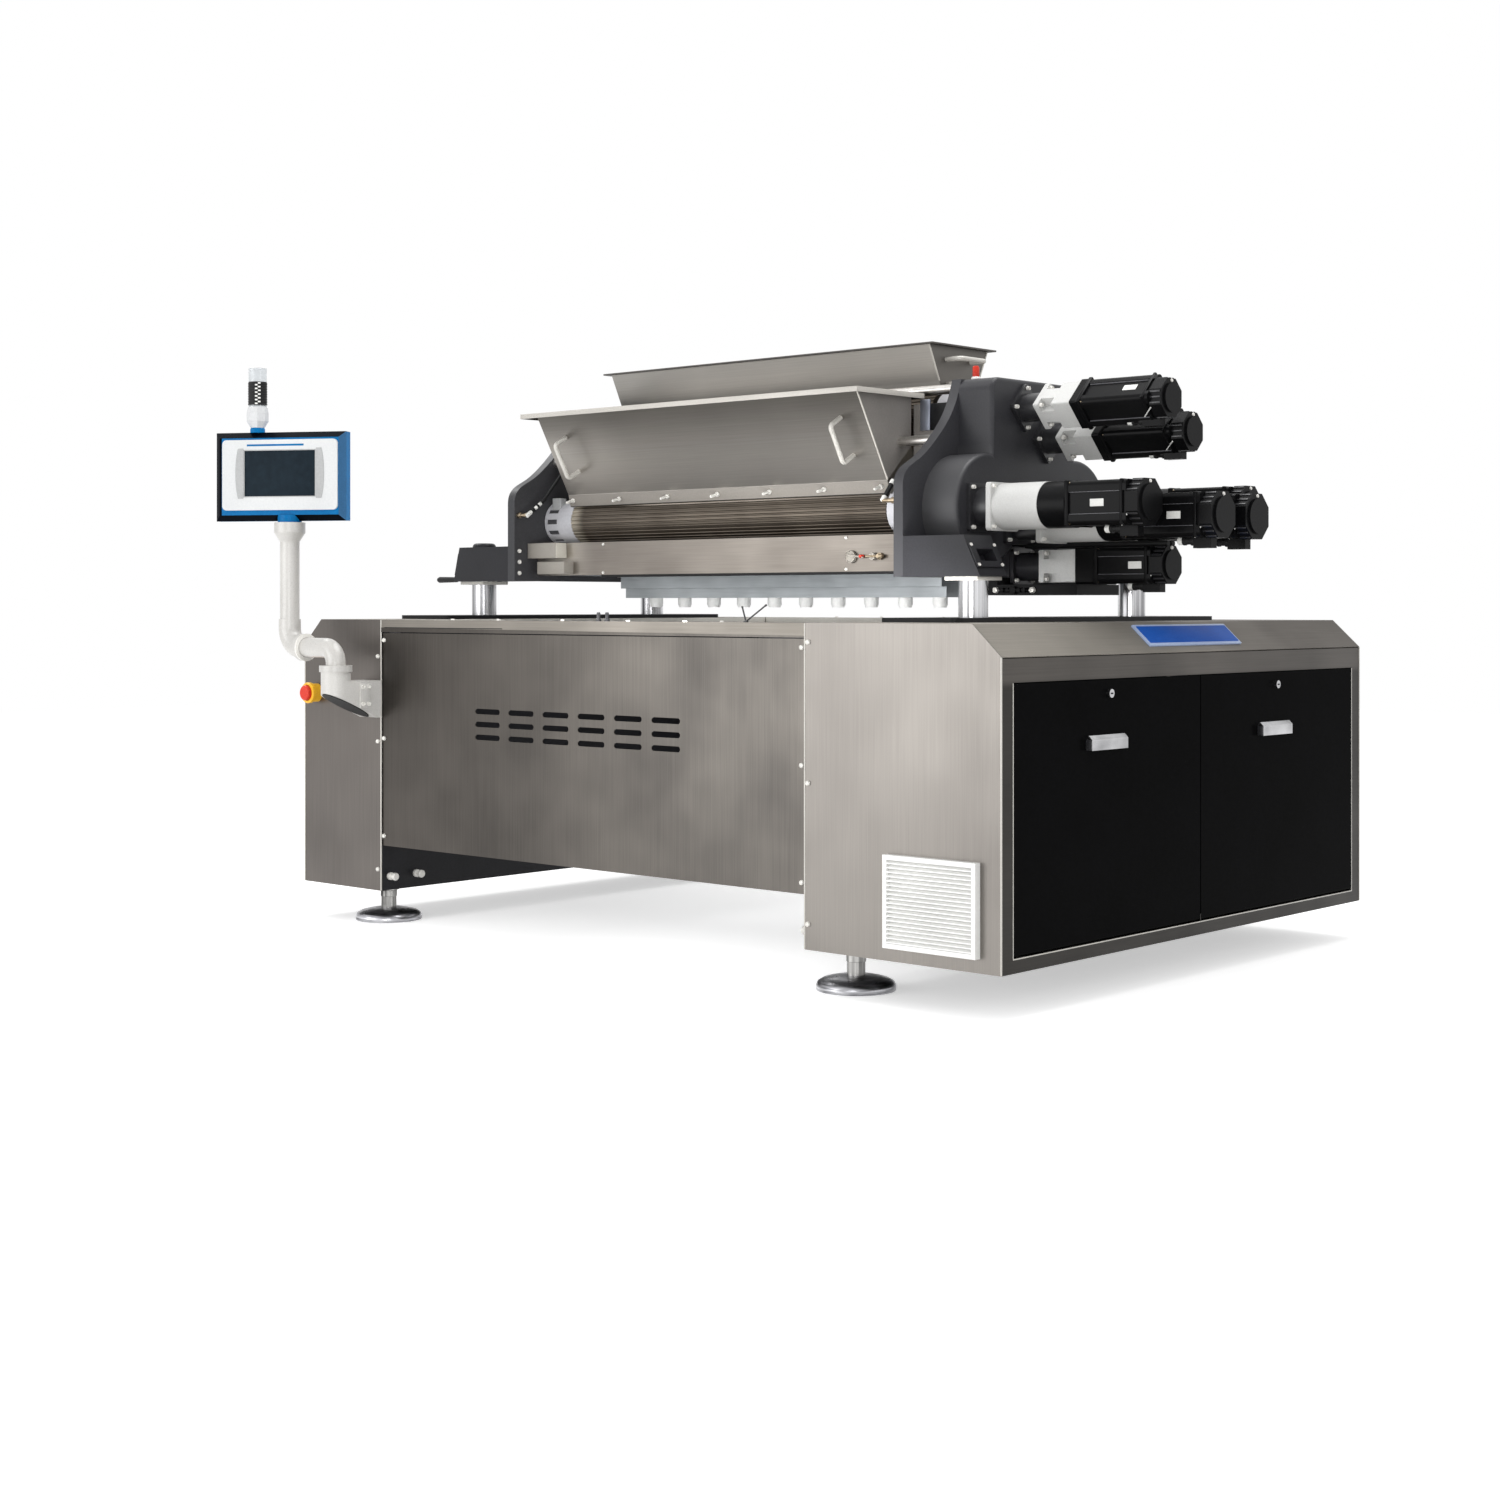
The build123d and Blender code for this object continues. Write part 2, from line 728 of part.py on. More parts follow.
gear_flange = 16
pocket_side = 52
pocket_length = 44
with BuildPart() as gearheads:
    for y, z, drive, turn in drives:
        x = drive["neck"]
        if drive in (round_drive, long_drive):
            extrude(square_at(x, y, z, round_flange, 0, 10), amount=gear_flange)
            rod_x((x + gear_flange, drive["gear"]), y, z, round_flange / 2 - 2)
        else:
            side = slant_flange - 8
            extrude(square_at(x, y, z, side, turn, 4), amount=drive["gear"] - x)
            with BuildSketch(Plane.YZ.offset(x + gear_flange)):
                with Locations(Location((y, z), turn)):
                    with GridLocations(side, side, 2, 2):
                        Rectangle(pocket_side, pocket_side)
            extrude(amount=pocket_length, mode=Mode.SUBTRACT)
save(gearheads, "gearheads")

cap_length = 42
boss_length = 6
rib_depth = 5
plug_half = 14
with BuildPart() as servo_motors:
    for y, z, drive, turn in drives:
        square = drive in (slant_drive, low_drive)
        side = slant_motor_side if square else motor_side
        body_end = drive["end"] - cap_length
        if square:
            extrude(square_at(drive["gear"], y, z, side, turn, 6), amount=drive["spacer"] - drive["gear"])
        else:
            rod_x((drive["gear"], drive["spacer"]), y, z, round_flange / 2 - 3)
        with BuildSketch(Plane.YZ.offset(drive["spacer"])):
            with Locations(Location((y, z), turn)):
                RectangleRounded(side, side, 14)
                with PolarLocations(side / 2, 4):
                    Rectangle(2 * rib_depth, side * 0.5, mode=Mode.SUBTRACT)
        extrude(amount=body_end - drive["spacer"])
        with BuildSketch(Plane.YZ.offset(body_end)):
            with Locations(Location((y, z), turn)):
                RegularPolygon(side * 0.56, 8, rotation=22.5)
        extrude(amount=cap_length - boss_length)
        rod_x((drive["end"] - boss_length, drive["end"]), y, z, side * 0.4)
        plug_z = (z - side * 0.74, z - side * 0.4)
        slab((body_end - 46, body_end + 8), (y - plug_half, y + plug_half), plug_z)
save(servo_motors, "servo_motors")

# Black shelf under the lowest drive
shelf_half = 105
shelf_z = (1018, 1047)
shelf_end = 1133
with BuildPart() as motor_shelf:
    slab((plate_inner, low_mount_face - 4), (-shelf_half, shelf_half), (shelf_z[1], head_bottom))
    slab((plate_inner, shelf_end), (-shelf_half, shelf_half), shelf_z)
save(motor_shelf, "motor_shelf")

# Fluted rollers on journals that reach into their gearheads
for name, (y, z, radius) in roller_axes.items():
    drive = [item for item in drives if item[:2] == (y, z)][0][2]
    with BuildPart() as roller:
        with BuildSketch(Plane.YZ.offset(-barrel_half)):
            with Locations((y, z)):
                Circle(radius)
                with PolarLocations(radius, flute_count):
                    Circle(flute_r, mode=Mode.SUBTRACT)
        extrude(amount=2 * barrel_half)
        rod_x((-plate_outer + 4, -barrel_half), y, z, journal_r)
        rod_x((barrel_half, drive["neck"] - 1), y, z, journal_r)
    save(roller, name)

# Dosing rotor above the nozzles, with a flat on each side that opens the way for the dough
with BuildPart() as dosing_rotor:
    rod_x((-barrel_half, barrel_half), 0, rotor_z, rotor_r)
    for side in (-1, 1):
        pocket_y = (side * rotor_web, side * rotor_r)
        slab((-slot_half, slot_half), pocket_y, (rotor_z - rotor_r, rotor_z + rotor_r), Mode.SUBTRACT)
    rod_x((-plate_inner + rotor_end, -barrel_half), 0, rotor_z, rotor_journal_r)
    rod_x((barrel_half, low_drive["neck"] - 1), 0, rotor_z, rotor_journal_r)
save(dosing_rotor, "dosing_rotor")

# Manifold: trough under the rollers, rotor bore and one outlet above each nozzle
nozzles_at = [((index - (nozzle_count - 1) / 2) * nozzle_pitch, 0) for index in range(nozzle_count)]
with BuildPart() as manifold:
    slab((-plate_inner, plate_inner), (-manifold_half, manifold_half), (beam_z[0], manifold_top))
    slab((-die_half_x, die_half_x), (-die_half_y, die_half_y), (die_top, beam_z[0]))
    trough_z = (manifold_top - trough_deep, manifold_top)
    slab((-slot_half, slot_half), (-trough_half, trough_half), trough_z, Mode.SUBTRACT)
    slab((-slot_half, slot_half), (-slot_width / 2, slot_width / 2), (rotor_z, manifold_top), Mode.SUBTRACT)
    rod_x((-barrel_half - 1, barrel_half + 1), 0, rotor_z, rotor_r + running_gap, Mode.SUBTRACT)
    journal_x = (-plate_inner + rotor_end - 1, plate_inner)
    rod_x(journal_x, 0, rotor_z, rotor_journal_r + running_gap, Mode.SUBTRACT)
    for x, y in nozzles_at:
        rod_z(x, y, (die_top, rotor_z), nozzle_bore_r, Mode.SUBTRACT)
save(manifold, "manifold")

with BuildPart() as die_block:
    slab((-die_half_x, die_half_x), (-die_half_y, die_half_y), (die_step_z, die_top))
    slab((-die_half_x, die_half_x), (-die_step_y, die_step_y), (die_bottom, die_step_z))
    for x, y in nozzles_at:
        rod_z(x, y, (die_bottom, die_top), spigot_r, Mode.SUBTRACT)
save(die_block, "die_block")

with BuildPart() as nozzles:
    for x, y in nozzles_at:
        rod_z(x, y, (nozzle_tip + 6, die_bottom), nozzle_r)
        rod_z(x, y, (nozzle_tip, nozzle_tip + 6), nozzle_r - 3)
        rod_z(x, y, (die_bottom, die_top), spigot_r)
        rod_z(x, y, (nozzle_tip, die_top), nozzle_bore_r, Mode.SUBTRACT)
save(nozzles, "nozzles")

# Box beams across the front and the back, and the rods between the plates
with BuildPart() as cross_beams:
    for y in (beam_y, mirrored(beam_y)):
        slab((-plate_inner, plate_inner), y, beam_z)
        inner = (-plate_inner, plate_inner)
        slab(inner, (y[0] + wall, y[1] - wall), (beam_z[0] + wall, beam_z[1] - wall), Mode.SUBTRACT)
    slab((-plate_inner, block_end), (beam_y[0] - block_proud, beam_y[0]), (block_low, beam_z[1]))
save(cross_beams, "cross_beams")

rod_r = 14
tie_y = 185
tie_z = 1600
pin_y = 275
pin_z = 1452
with BuildPart() as cross_rods:
    for side in (-1, 1):
        rod_x((-plate_inner, plate_inner), side * tie_y, tie_z, rod_r)
        for end in (-1, 1):
            rod_x((end * hopper_end, end * plate_inner), side * pin_y, pin_z, rod_r)
save(cross_rods, "cross_rods")


# Hoppers: folded walls, two flat ends and a rim flange
def hopper_shell(front, back, top, flange_x, flange_y, lip):
    """Build one hopper inside the part that is open."""
    left = Plane.YZ.offset(-hopper_end)
    extrude(folded(left, front, Side.LEFT, wall), amount=2 * hopper_end)
    extrude(folded(left, back, Side.RIGHT, wall), amount=2 * hopper_end)
    ends = front + back[::-1]
    across_x(ends, -hopper_end, -hopper_end + wall)
    across_x(ends, hopper_end - wall, hopper_end)
    slab((-flange_x, flange_x), flange_y, (top - flange_sheet, top))
    if lip:
        lip_z = (top - lip, top - flange_sheet)
        slab((-flange_x, flange_x), (flange_y[0], flange_y[0] + flange_sheet), lip_z)
        slab((-flange_x, flange_x), (flange_y[1] - flange_sheet, flange_y[1]), lip_z)
        slab((-flange_x, -flange_x + flange_sheet), flange_y, lip_z)
        slab((flange_x - flange_sheet, flange_x), flange_y, lip_z)
    mouth = (front[0][0] + wall, back[0][0] - wall)
    clear = hopper_end - wall
    slab((-clear, clear), mouth, (top - flange_sheet, top), Mode.SUBTRACT)


with BuildPart() as front_hopper:
    hopper_shell(front_wall, back_wall, hopper_top, front_flange_x, front_flange_y, rim_lip)
save(front_hopper, "front_hopper")

with BuildPart() as rear_hopper:
    mirror(front_hopper.part, about=Plane.XZ)
save(rear_hopper, "rear_hopper")

centre_flange_y = (-centre_flange_half, centre_flange_half)
with BuildPart() as centre_hopper:
    hopper_shell(centre_front_wall, centre_rear_wall, centre_top, centre_flange_x, centre_flange_y, 0)
    for side in (-1, 1):
        for y in (-hopper_lug, hopper_lug):
            lug_x = (side * (hopper_end - 1), side * (plate_outer - 4))
            slab(lug_x, (y - hopper_lug / 2, y + hopper_lug / 2), (plate_top, plate_top + lug_thick))
save(centre_hopper, "centre_hopper")

# Bent rod handles on the outer hopper walls and on the ends of the centre hopper
def bent_rod(plane, length):
    """A rod handle whose feet stand on the plane, centred on its origin."""
    half = length / 2
    foot_plane = Plane(plane.from_local_coords((0, -half, 0)), x_dir=plane.x_dir, z_dir=plane.z_dir)
    corners = [(0, -half, 0), (0, -half, grip_out), (0, half, grip_out), (0, half, 0)]
    with BuildLine() as path:
        FilletPolyline(*[plane.from_local_coords(point) for point in corners], radius=handle_bend)
    with BuildSketch(foot_plane) as section:
        Circle(handle_r)
    return section.sketch, path.line


grip_out = handle_reach + handle_r
top_y, top_z = front_wall[0]
low_y, low_z = front_wall[1]
slope = Vector(0, top_y - low_y, top_z - low_z).normalized()
outward = Vector(0, -slope.Z, slope.Y)
with BuildPart() as front_handles:
    for x in (-handle_x, handle_x):
        middle = (x, (top_y + low_y) / 2, (top_z + low_z) / 2)
        section, path = bent_rod(Plane(middle, x_dir=(1, 0, 0), z_dir=outward), handle_length)
        sweep(section, path=path)

with BuildPart() as hopper_handles:
    add(front_handles.part)
    mirror(front_handles.part, about=Plane.XZ)
    for side in (-1, 1):
        end = Plane((side * hopper_end, 0, end_handle_z), x_dir=(0, 0, 1), z_dir=(side, 0, 0))
        section, path = bent_rod(end, handle_length)
        sweep(section, path=path)
save(hopper_handles, "hopper_handles")

# Operator arm: bracket, elbow in the socket, pole on its own elbow
arm_plate = 12
arm_plate_half = 45
arm_plate_z = (644, 758)
spigot_low = socket_bottom + 45
under_tip = 722
with BuildPart() as hmi_bracket:
    plate_y = -half_depth - arm_plate
    slab((socket_x - arm_plate_half, socket_x + arm_plate_half), (plate_y, -half_depth), arm_plate_z)
    slab((socket_x - socket_r, socket_x + socket_r), (socket_y, plate_y), arm_plate_z)
    rod_z(socket_x, socket_y, (arm_plate_z[0], socket_top), socket_r)
    tip_y = socket_y - socket_r - 1
    underside = [(plate_y, arm_plate_z[0]), (tip_y, under_tip), (tip_y, arm_plate_z[0])]
    across_x(underside, socket_x - socket_r, socket_x + socket_r, Mode.SUBTRACT)
    rod_z(socket_x, socket_y, (spigot_low, socket_top), pipe_r + running_gap, Mode.SUBTRACT)
save(hmi_bracket, "hmi_bracket")

collar_top = socket_top + 20
with BuildPart() as arm_elbow:
    rod_z(socket_x, socket_y, (spigot_low + 2, collar_top), pipe_r)
    rod_z(socket_x, socket_y, (socket_top + 0.2, collar_top), socket_r + 5)
    with BuildLine(Plane.XZ.offset(-socket_y)):
        FilletPolyline((socket_x, collar_top), (socket_x, run_z), (mouth_x, run_z), radius=lower_bend)
    with BuildSketch(Plane((socket_x, socket_y, collar_top))):
        Circle(pipe_r)
    sweep()
save(arm_elbow, "arm_elbow")

elbow_r = pipe_r + 4
elbow_top = 946
mouth_ring = 16
mouth_proud = 8
ring_low = 1215
ring_r = 48
with BuildPart() as arm_pole:
    with BuildLine(Plane.XZ.offset(-socket_y)):
        FilletPolyline((mouth_x, run_z), (pole_x, run_z), (pole_x, elbow_top), radius=upper_bend)
    with BuildSketch(Plane((mouth_x, socket_y, run_z), x_dir=(0, 1, 0), z_dir=(-1, 0, 0))):
        Circle(elbow_r)
    sweep()
    rod_x((mouth_x, mouth_x + mouth_ring), socket_y, run_z, elbow_r + mouth_proud)
    rod_x((mouth_x, mouth_x + mouth_ring), socket_y, run_z, pipe_r + 0.2, Mode.SUBTRACT)
    rod_z(pole_x, socket_y, (elbow_top, pole_top), pole_r)
    with Locations((pole_x, socket_y, (pole_top + ring_low) / 2)):
        Cone(pole_r, ring_r, ring_low - pole_top)
    rod_z(pole_x, socket_y, (ring_low, head_ring_top), ring_r)
save(arm_pole, "arm_pole")

# Operator panel, turned towards the operator, with a signal beacon on top
turn = radians(panel_turn)
across = Vector(cos(turn), sin(turn), 0)
facing = Vector(sin(turn), -cos(turn), 0)
case_foot = Vector(pole_x, socket_y, case_low) + across * case_shift
panel_plane = Plane(case_foot, x_dir=across, z_dir=(0, 0, 1))
case_middle = case_foot + Vector(0, 0, case_size[2] / 2)
front_plane = Plane(case_middle + facing * (case_size[1] / 2), x_dir=across, z_dir=facing)
bezel_proud = 8
panel_corner = 14
neck_rise = 18
with BuildPart() as hmi_case:
    with BuildSketch(panel_plane):
        Rectangle(case_size[0], case_size[1])
    extrude(amount=case_size[2])
    front_face = hmi_case.faces().sort_by(Axis(case_middle, facing))[-1]
    chamfer(front_face.edges(), case_chamfer)
    rod_z(pole_x, socket_y, (head_ring_top + 0.2, case_low + neck_rise), pole_r + 7)
save(hmi_case, "hmi_case")

with BuildPart() as hmi_bezel:
    with BuildSketch(front_plane):
        with Locations(bezel_middle):
            RectangleRounded(*bezel_size, panel_corner)
        with Locations(screen_middle):
            Rectangle(*screen_size, mode=Mode.SUBTRACT)
    extrude(amount=bezel_proud)
save(hmi_bezel, "hmi_bezel")

with BuildPart() as hmi_screen:
    with BuildSketch(front_plane):
        with Locations(screen_middle):
            Rectangle(*screen_size)
    extrude(amount=bezel_proud - 2)
save(hmi_screen, "hmi_screen")

beacon_at = case_foot + across * beacon_offset
case_top = case_low + case_size[2]
lens_low = 1607
lens_top = 1729
beacon_steps = [(case_top, 19), (case_top + 14, 19), (case_top + 36, 31), (lens_low - 18, 31), (lens_low, 28)]
with BuildPart() as beacon_base:
    for z, radius in beacon_steps:
        with BuildSketch(Plane((beacon_at.X, beacon_at.Y, z), x_dir=across, z_dir=(0, 0, 1))):
            RegularPolygon(radius, 8, major_radius=False, rotation=22.5)
    loft(ruled=True)
save(beacon_base, "beacon_base")

lens_plane = Plane((beacon_at.X, beacon_at.Y, lens_top), x_dir=across, z_dir=-facing)
with BuildPart() as beacon_lens:
    rod_z(beacon_at.X, beacon_at.Y, (lens_low, lens_top), beacon_r)
    with BuildSketch(lens_plane):
        with BuildLine():
            Polyline((8, 0), (beacon_r, -18), (beacon_r, 0), close=True)
        make_face()
    extrude(amount=beacon_r, both=True, mode=Mode.SUBTRACT)
save(beacon_lens, "beacon_lens")

# Emergency stop on the left cabinet
estop_side = 58
estop_front = -half_depth - 22
stop_stem_r = 12
stop_bore = 17
mushroom_r = 24
mushroom_y = (estop_front - 28, estop_front - 8)
with BuildPart() as estop_base:
    half = estop_side / 2
    slab((estop_x - half, estop_x + half), (estop_front, -half_depth), (estop_z - half, estop_z + half))
    fillet(estop_base.edges().filter_by(Axis.Y), 24)
    rod_y(estop_x, (estop_front, estop_front + stop_bore), estop_z, stop_stem_r + running_gap, Mode.SUBTRACT)
save(estop_base, "estop_base")

with BuildPart() as estop_button:
    rod_y(estop_x, (mushroom_y[1], estop_front + stop_bore - 10), estop_z, stop_stem_r)
    rod_y(estop_x, mushroom_y, estop_z, mushroom_r)
    fillet(estop_button.edges().group_by(Axis.Y)[0], 7)
save(estop_button, "estop_button")
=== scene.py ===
from collections import namedtuple
from math import cos, pi, radians, sin

import bmesh
import bpy
from mathutils import Matrix, Vector


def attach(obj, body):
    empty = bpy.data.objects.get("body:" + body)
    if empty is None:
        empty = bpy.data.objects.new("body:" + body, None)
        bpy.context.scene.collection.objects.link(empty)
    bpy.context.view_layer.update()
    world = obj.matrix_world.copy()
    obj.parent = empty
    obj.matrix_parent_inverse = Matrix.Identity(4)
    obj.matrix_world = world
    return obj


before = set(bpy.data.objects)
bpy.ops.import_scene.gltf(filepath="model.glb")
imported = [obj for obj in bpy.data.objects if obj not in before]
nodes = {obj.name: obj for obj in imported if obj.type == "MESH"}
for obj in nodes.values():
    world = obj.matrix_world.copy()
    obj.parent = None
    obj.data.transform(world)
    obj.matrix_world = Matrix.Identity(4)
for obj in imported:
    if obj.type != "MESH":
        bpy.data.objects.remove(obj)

# %% [markdown]
# This scene dresses a roller depositor for cookie dough. The solid model gives every main form, and
# this file gives it its finishes and its small fittings.

# %% Update the scene and set the unit
scene = bpy.context.scene
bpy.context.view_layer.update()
MM = 0.001

# %% [markdown]
# The camera stands where the photographer stood: at about chest height, a little to the right of
# the front corner. The lens is raised on its mount, as with a shift lens, so that upright edges
# stay upright. Values came from the straight edges of the cabinets.

# %% Set up the camera
eye = bpy.data.cameras.new("eye")
eye.lens = 53.016
eye.sensor_width = 36.0
eye.shift_y = -0.0973
camera = bpy.data.objects.new("eye", eye)
camera.location = (4.527, -5.187, 0.993)
camera.rotation_euler = (radians(90), 0, radians(42.157))
scene.collection.objects.link(camera)
scene.camera = camera
print("camera at", tuple(round(c, 2) for c in camera.location))

# %% [markdown]
# Colours are written as sRGB hex, as a colour picker shows them, and Blender's shaders work in
# linear light. One function does that change. Another adds a node with its settings and its links,
# so that each finish below reads as a list of what it is made of.

# %% Helpers for finishes
def linear(code):
    """An sRGB hex colour as linear red, green, blue and alpha."""
    channels = [int(code[i:i + 2], 16) / 255 for i in (0, 2, 4)]
    return (*[c / 12.92 if c <= 0.04045 else ((c + 0.055) / 1.055) ** 2.4 for c in channels], 1.0)


def add(tree, kind, inputs=None, **settings):
    """Add a node. An input is a value, a hex colour, an output, or a node for its first output."""
    made = tree.nodes.new("ShaderNode" + kind)
    for key, value in settings.items():
        setattr(made, key, value)
    for socket, value in (inputs or {}).items():
        if isinstance(value, bpy.types.Node):
            value = next(output for output in value.outputs if output.enabled)
        if isinstance(value, bpy.types.NodeSocket):
            tree.links.new(value, made.inputs[socket])
        else:
            made.inputs[socket].default_value = linear(value) if isinstance(value, str) else value
    return made


def blank(name):
    """A new material, and its node tree with nothing in it."""
    made = bpy.data.materials.new(name)
    made.use_nodes = True
    made.node_tree.nodes.clear()
    return made, made.node_tree


def sideways(tree):
    """How far a face looks along x, from 0 to 1."""
    normal = add(tree, "SeparateXYZ", {0: add(tree, "TexCoord").outputs["Normal"]})
    return add(tree, "Math", {0: normal.outputs["X"]}, operation="ABSOLUTE")


print("white is", linear("ffffff"), "mid grey is", round(linear("808080")[0], 3))

# %% [markdown]
# Most of the machine is ground stainless steel. Grinding leaves fine parallel lines, and the sheet
# takes on soft clouds where the belt was pressed harder. Noise that is stretched along one axis
# gives the lines, and a second, coarse noise gives the clouds. Real lines are a tenth of a
# millimetre wide, which is too fine to show from here, so they are drawn a few millimetres wide. A
# finish may also pass from one pair of tones to another along an axis, and take other tones on
# faces that look along x or down; most of that is painted light and shade, as noted at each sheet.

# %% Ground steel
def ground_steel(name, tones, line, cloud, rough, along=None, far_tones=None, share=0.7, side=None,
                 under=None):
    """Steel with grinding lines: two tones, line size along x, y and z and cloud size in mm.

    With along, an axis and two places in mm on it, the tones pass to far_tones between the two. The
    clouds have the given share, and the lines the rest. Faces that look along x take the tone side
    and
    faces that look down take under: painted shade on the ends and undersides of a part."""
    made, tree = blank(name)
    place = add(tree, "TexCoord").outputs["Object"]
    density = tuple(1 / (width * MM) for width in line)
    stretched = add(tree, "Mapping", {"Vector": place, "Scale": density})
    lines = add(tree, "TexNoise", {"Vector": stretched, "Scale": 1.0, "Detail": 2.0})
    clouds = add(tree, "TexNoise", {"Vector": place, "Scale": 1 / (cloud * MM), "Detail": 2.0})
    both = add(tree, "Mix", {"Factor": share, "A": lines, "B": clouds})
    # few places in the noise lie below 0.3 or above 0.7
    spread = add(tree, "MapRange", {"Value": both, "From Min": 0.3, "From Max": 0.7})
    tone = add(tree, "Mix", {"Factor": spread, "A": tones[0], "B": tones[1]}, data_type="RGBA")
    if along:
        axis, start, stop = along
        way = add(tree, "SeparateXYZ", {0: place}).outputs[axis]
        ends = {"Value": way, "From Min": start * MM, "From Max": stop * MM}
        passed = add(tree, "MapRange", ends, interpolation_type="SMOOTHSTEP")
        pair = {"Factor": spread, "A": far_tones[0], "B": far_tones[1]}
        far = add(tree, "Mix", pair, data_type="RGBA")
        tone = add(tree, "Mix", {"Factor": passed, "A": tone, "B": far}, data_type="RGBA")
    if side:
        flat = add(tree, "MapRange", {"Value": sideways(tree), "From Min": 0.4, "From Max": 0.7})
        tone = add(tree, "Mix", {"Factor": flat, "A": tone, "B": side}, data_type="RGBA")
    if under:
        normal = add(tree, "SeparateXYZ", {0: add(tree, "TexCoord").outputs["Normal"]})
        ends = {"Value": normal.outputs["Z"], "From Min": -0.75, "From Max": -0.9}
        down = add(tree, "MapRange", ends)
        tone = add(tree, "Mix", {"Factor": down, "A": tone, "B": under}, data_type="RGBA")
    polish = {"Value": spread, "To Min": rough + 0.06, "To Max": rough - 0.05}
    shader = add(tree, "BsdfPrincipled", {
        "Base Color": tone,
        "Metallic": 1.0,
        "Roughness": add(tree, "MapRange", polish),
        "Normal": add(tree, "Bump", {"Height": lines, "Strength": 0.04, "Distance": 0.0004}),
    })
    add(tree, "OutputMaterial", {"Surface": shader})
    return made


# sheet ground upright: a warm grey with faint vertical lines; darker to the left as painted shade
# and painted reflection
upright = (2.5, 2.5, 260)
left_to_right = ("X", -880, 845)
cabinet_steel = ground_steel(
    "ground_cabinet_sheet", ("5a5653", "706b67"), upright, 420, 0.36,
    left_to_right, ("75716d", "86827d"))
panel_steel = ground_steel(
    "ground_panel_sheet", ("3a3734", "504c48"), upright, 260, 0.34,
    left_to_right, ("53504d", "6a6661"))
rail_steel = ground_steel("ground_rail", ("6c6862", "86817a"), (260, 2.5, 2.5), 300, 0.36)
# the table tops darken towards the rear: painted shade
top_steel = ground_steel(
    "ground_table_top", ("86827b", "9c978f"), (2.5, 260, 2.5), 300, 0.62,
    ("Y", -300, 500), ("5e5a56", "706c67"))
# the door surround is a near-black copy of the sheet steel, painted shade on a face turned from the
# light, lighter above 815 mm
rim_steel = ground_steel(
    "ground_door_rim", ("2c2a28", "373532"), (40, 260, 2.5), 300, 0.36,
    ("Z", 790, 815), ("4a4744", "5a5652"))
# satin sheet of the hoppers: lines along the hopper, a grey that darkens towards the top, and
# painted shade on the ends and on faces that look down
satin = (260, 3, 3)
hopper_steel = ground_steel(
    "satin_hopper_sheet", ("a9a59f", "c4bfb9"), satin, 500, 0.40,
    ("Z", 1375, 1590), ("55524e", "64615c"), side="8a867f", under="45423f")
# the centre hopper darkens towards its left end as painted shade, with painted shade on its ends
# and undersides
centre_steel = ground_steel(
    "satin_centre_hopper", ("8a8782", "9b9893"), satin, 500, 0.5,
    ("X", -640, -250), ("bfbbb5", "d8d4ce"), side="706d69", under="45423f")
# beams and straps: brighter, with short lines; the beam is lighter at its left end, painted light
# against the dark reflection of the black plate beside it
beam_steel = ground_steel(
    "ground_beam_steel", ("a09a92", "b4aea6"), (200, 3, 3), 260, 0.38,
    ("X", -640, -500), ("726c66", "8a847d"))
strap_steel = ground_steel("blued_strap", ("8d93a3", "a9aebb"), (4, 4, 80), 60, 0.45)
print("steels", len(bpy.data.materials))

# %% [markdown]
# The columns are ground and hard chromed, so they are nearly mirrors. The feet are turned steel:
# the dark and bright streaks down the stems are painted reflections, and the bands round the pads
# stand both for lathe rings and for painted reflections. The rollers are milled along their length,
# and flour and handling leave them a little brown in the grooves; their lighter left ends are a
# painted highlight on the flute tips.

# %% Chrome, turned steel and roller steel
# the streaks down a column are painted reflections of the room, drawn a finger wide
chrome = ground_steel("hard_chrome", ("3a3a3e", "f2f2f4"), (17, 17, 1400), 300, 0.2, share=0.15)
# the pulls' dark and bright clouds are painted reflections
pull_chrome = ground_steel("polished_pull", ("8c8c8e", "d4d4d6"), (40, 110, 30), 90, 0.2)
# stems: dark and bright streaks of painted reflection
turned_steel = ground_steel(
    "polished_foot_steel", ("0c0b0b", "cfcecb"), (11, 11, 400), 60, 0.3, share=0.2)
# pads: bands for lathe rings and for painted reflections
pad_steel = ground_steel(
    "polished_pad_steel", ("4c4c50", "e6e6ea"), (70, 70, 6), 60, 0.3, share=0.35)
# rollers: lighter left ends, a painted highlight on the flute tips
roller_steel = ground_steel(
    "milled_roller_steel", ("a89f90", "d2cabb"), (700, 5, 5), 200, 0.42,
    ("X", -640, -585), ("4f4841", "726a60"))
bright_steel = ground_steel("bright_screw_steel", ("c4c1bc", "eeebe6"), (6, 6, 6), 40, 0.3)
# plated brass has worn pale in patches
brass = ground_steel("worn_plated_brass", ("8a7a66", "c8b89e"), (4, 4, 4), 30, 0.3)
print("with the bright metals", len(bpy.data.materials))

# %% [markdown]
# Castings and sheet parts are coated. Powder coat has a fine orange-peel grain that scatters the
# highlight, moulded plastic is smoother, and both drift a little in tone. One recipe covers them: a
# grain for the relief, a coarse noise for the tone, and its own gloss for each.

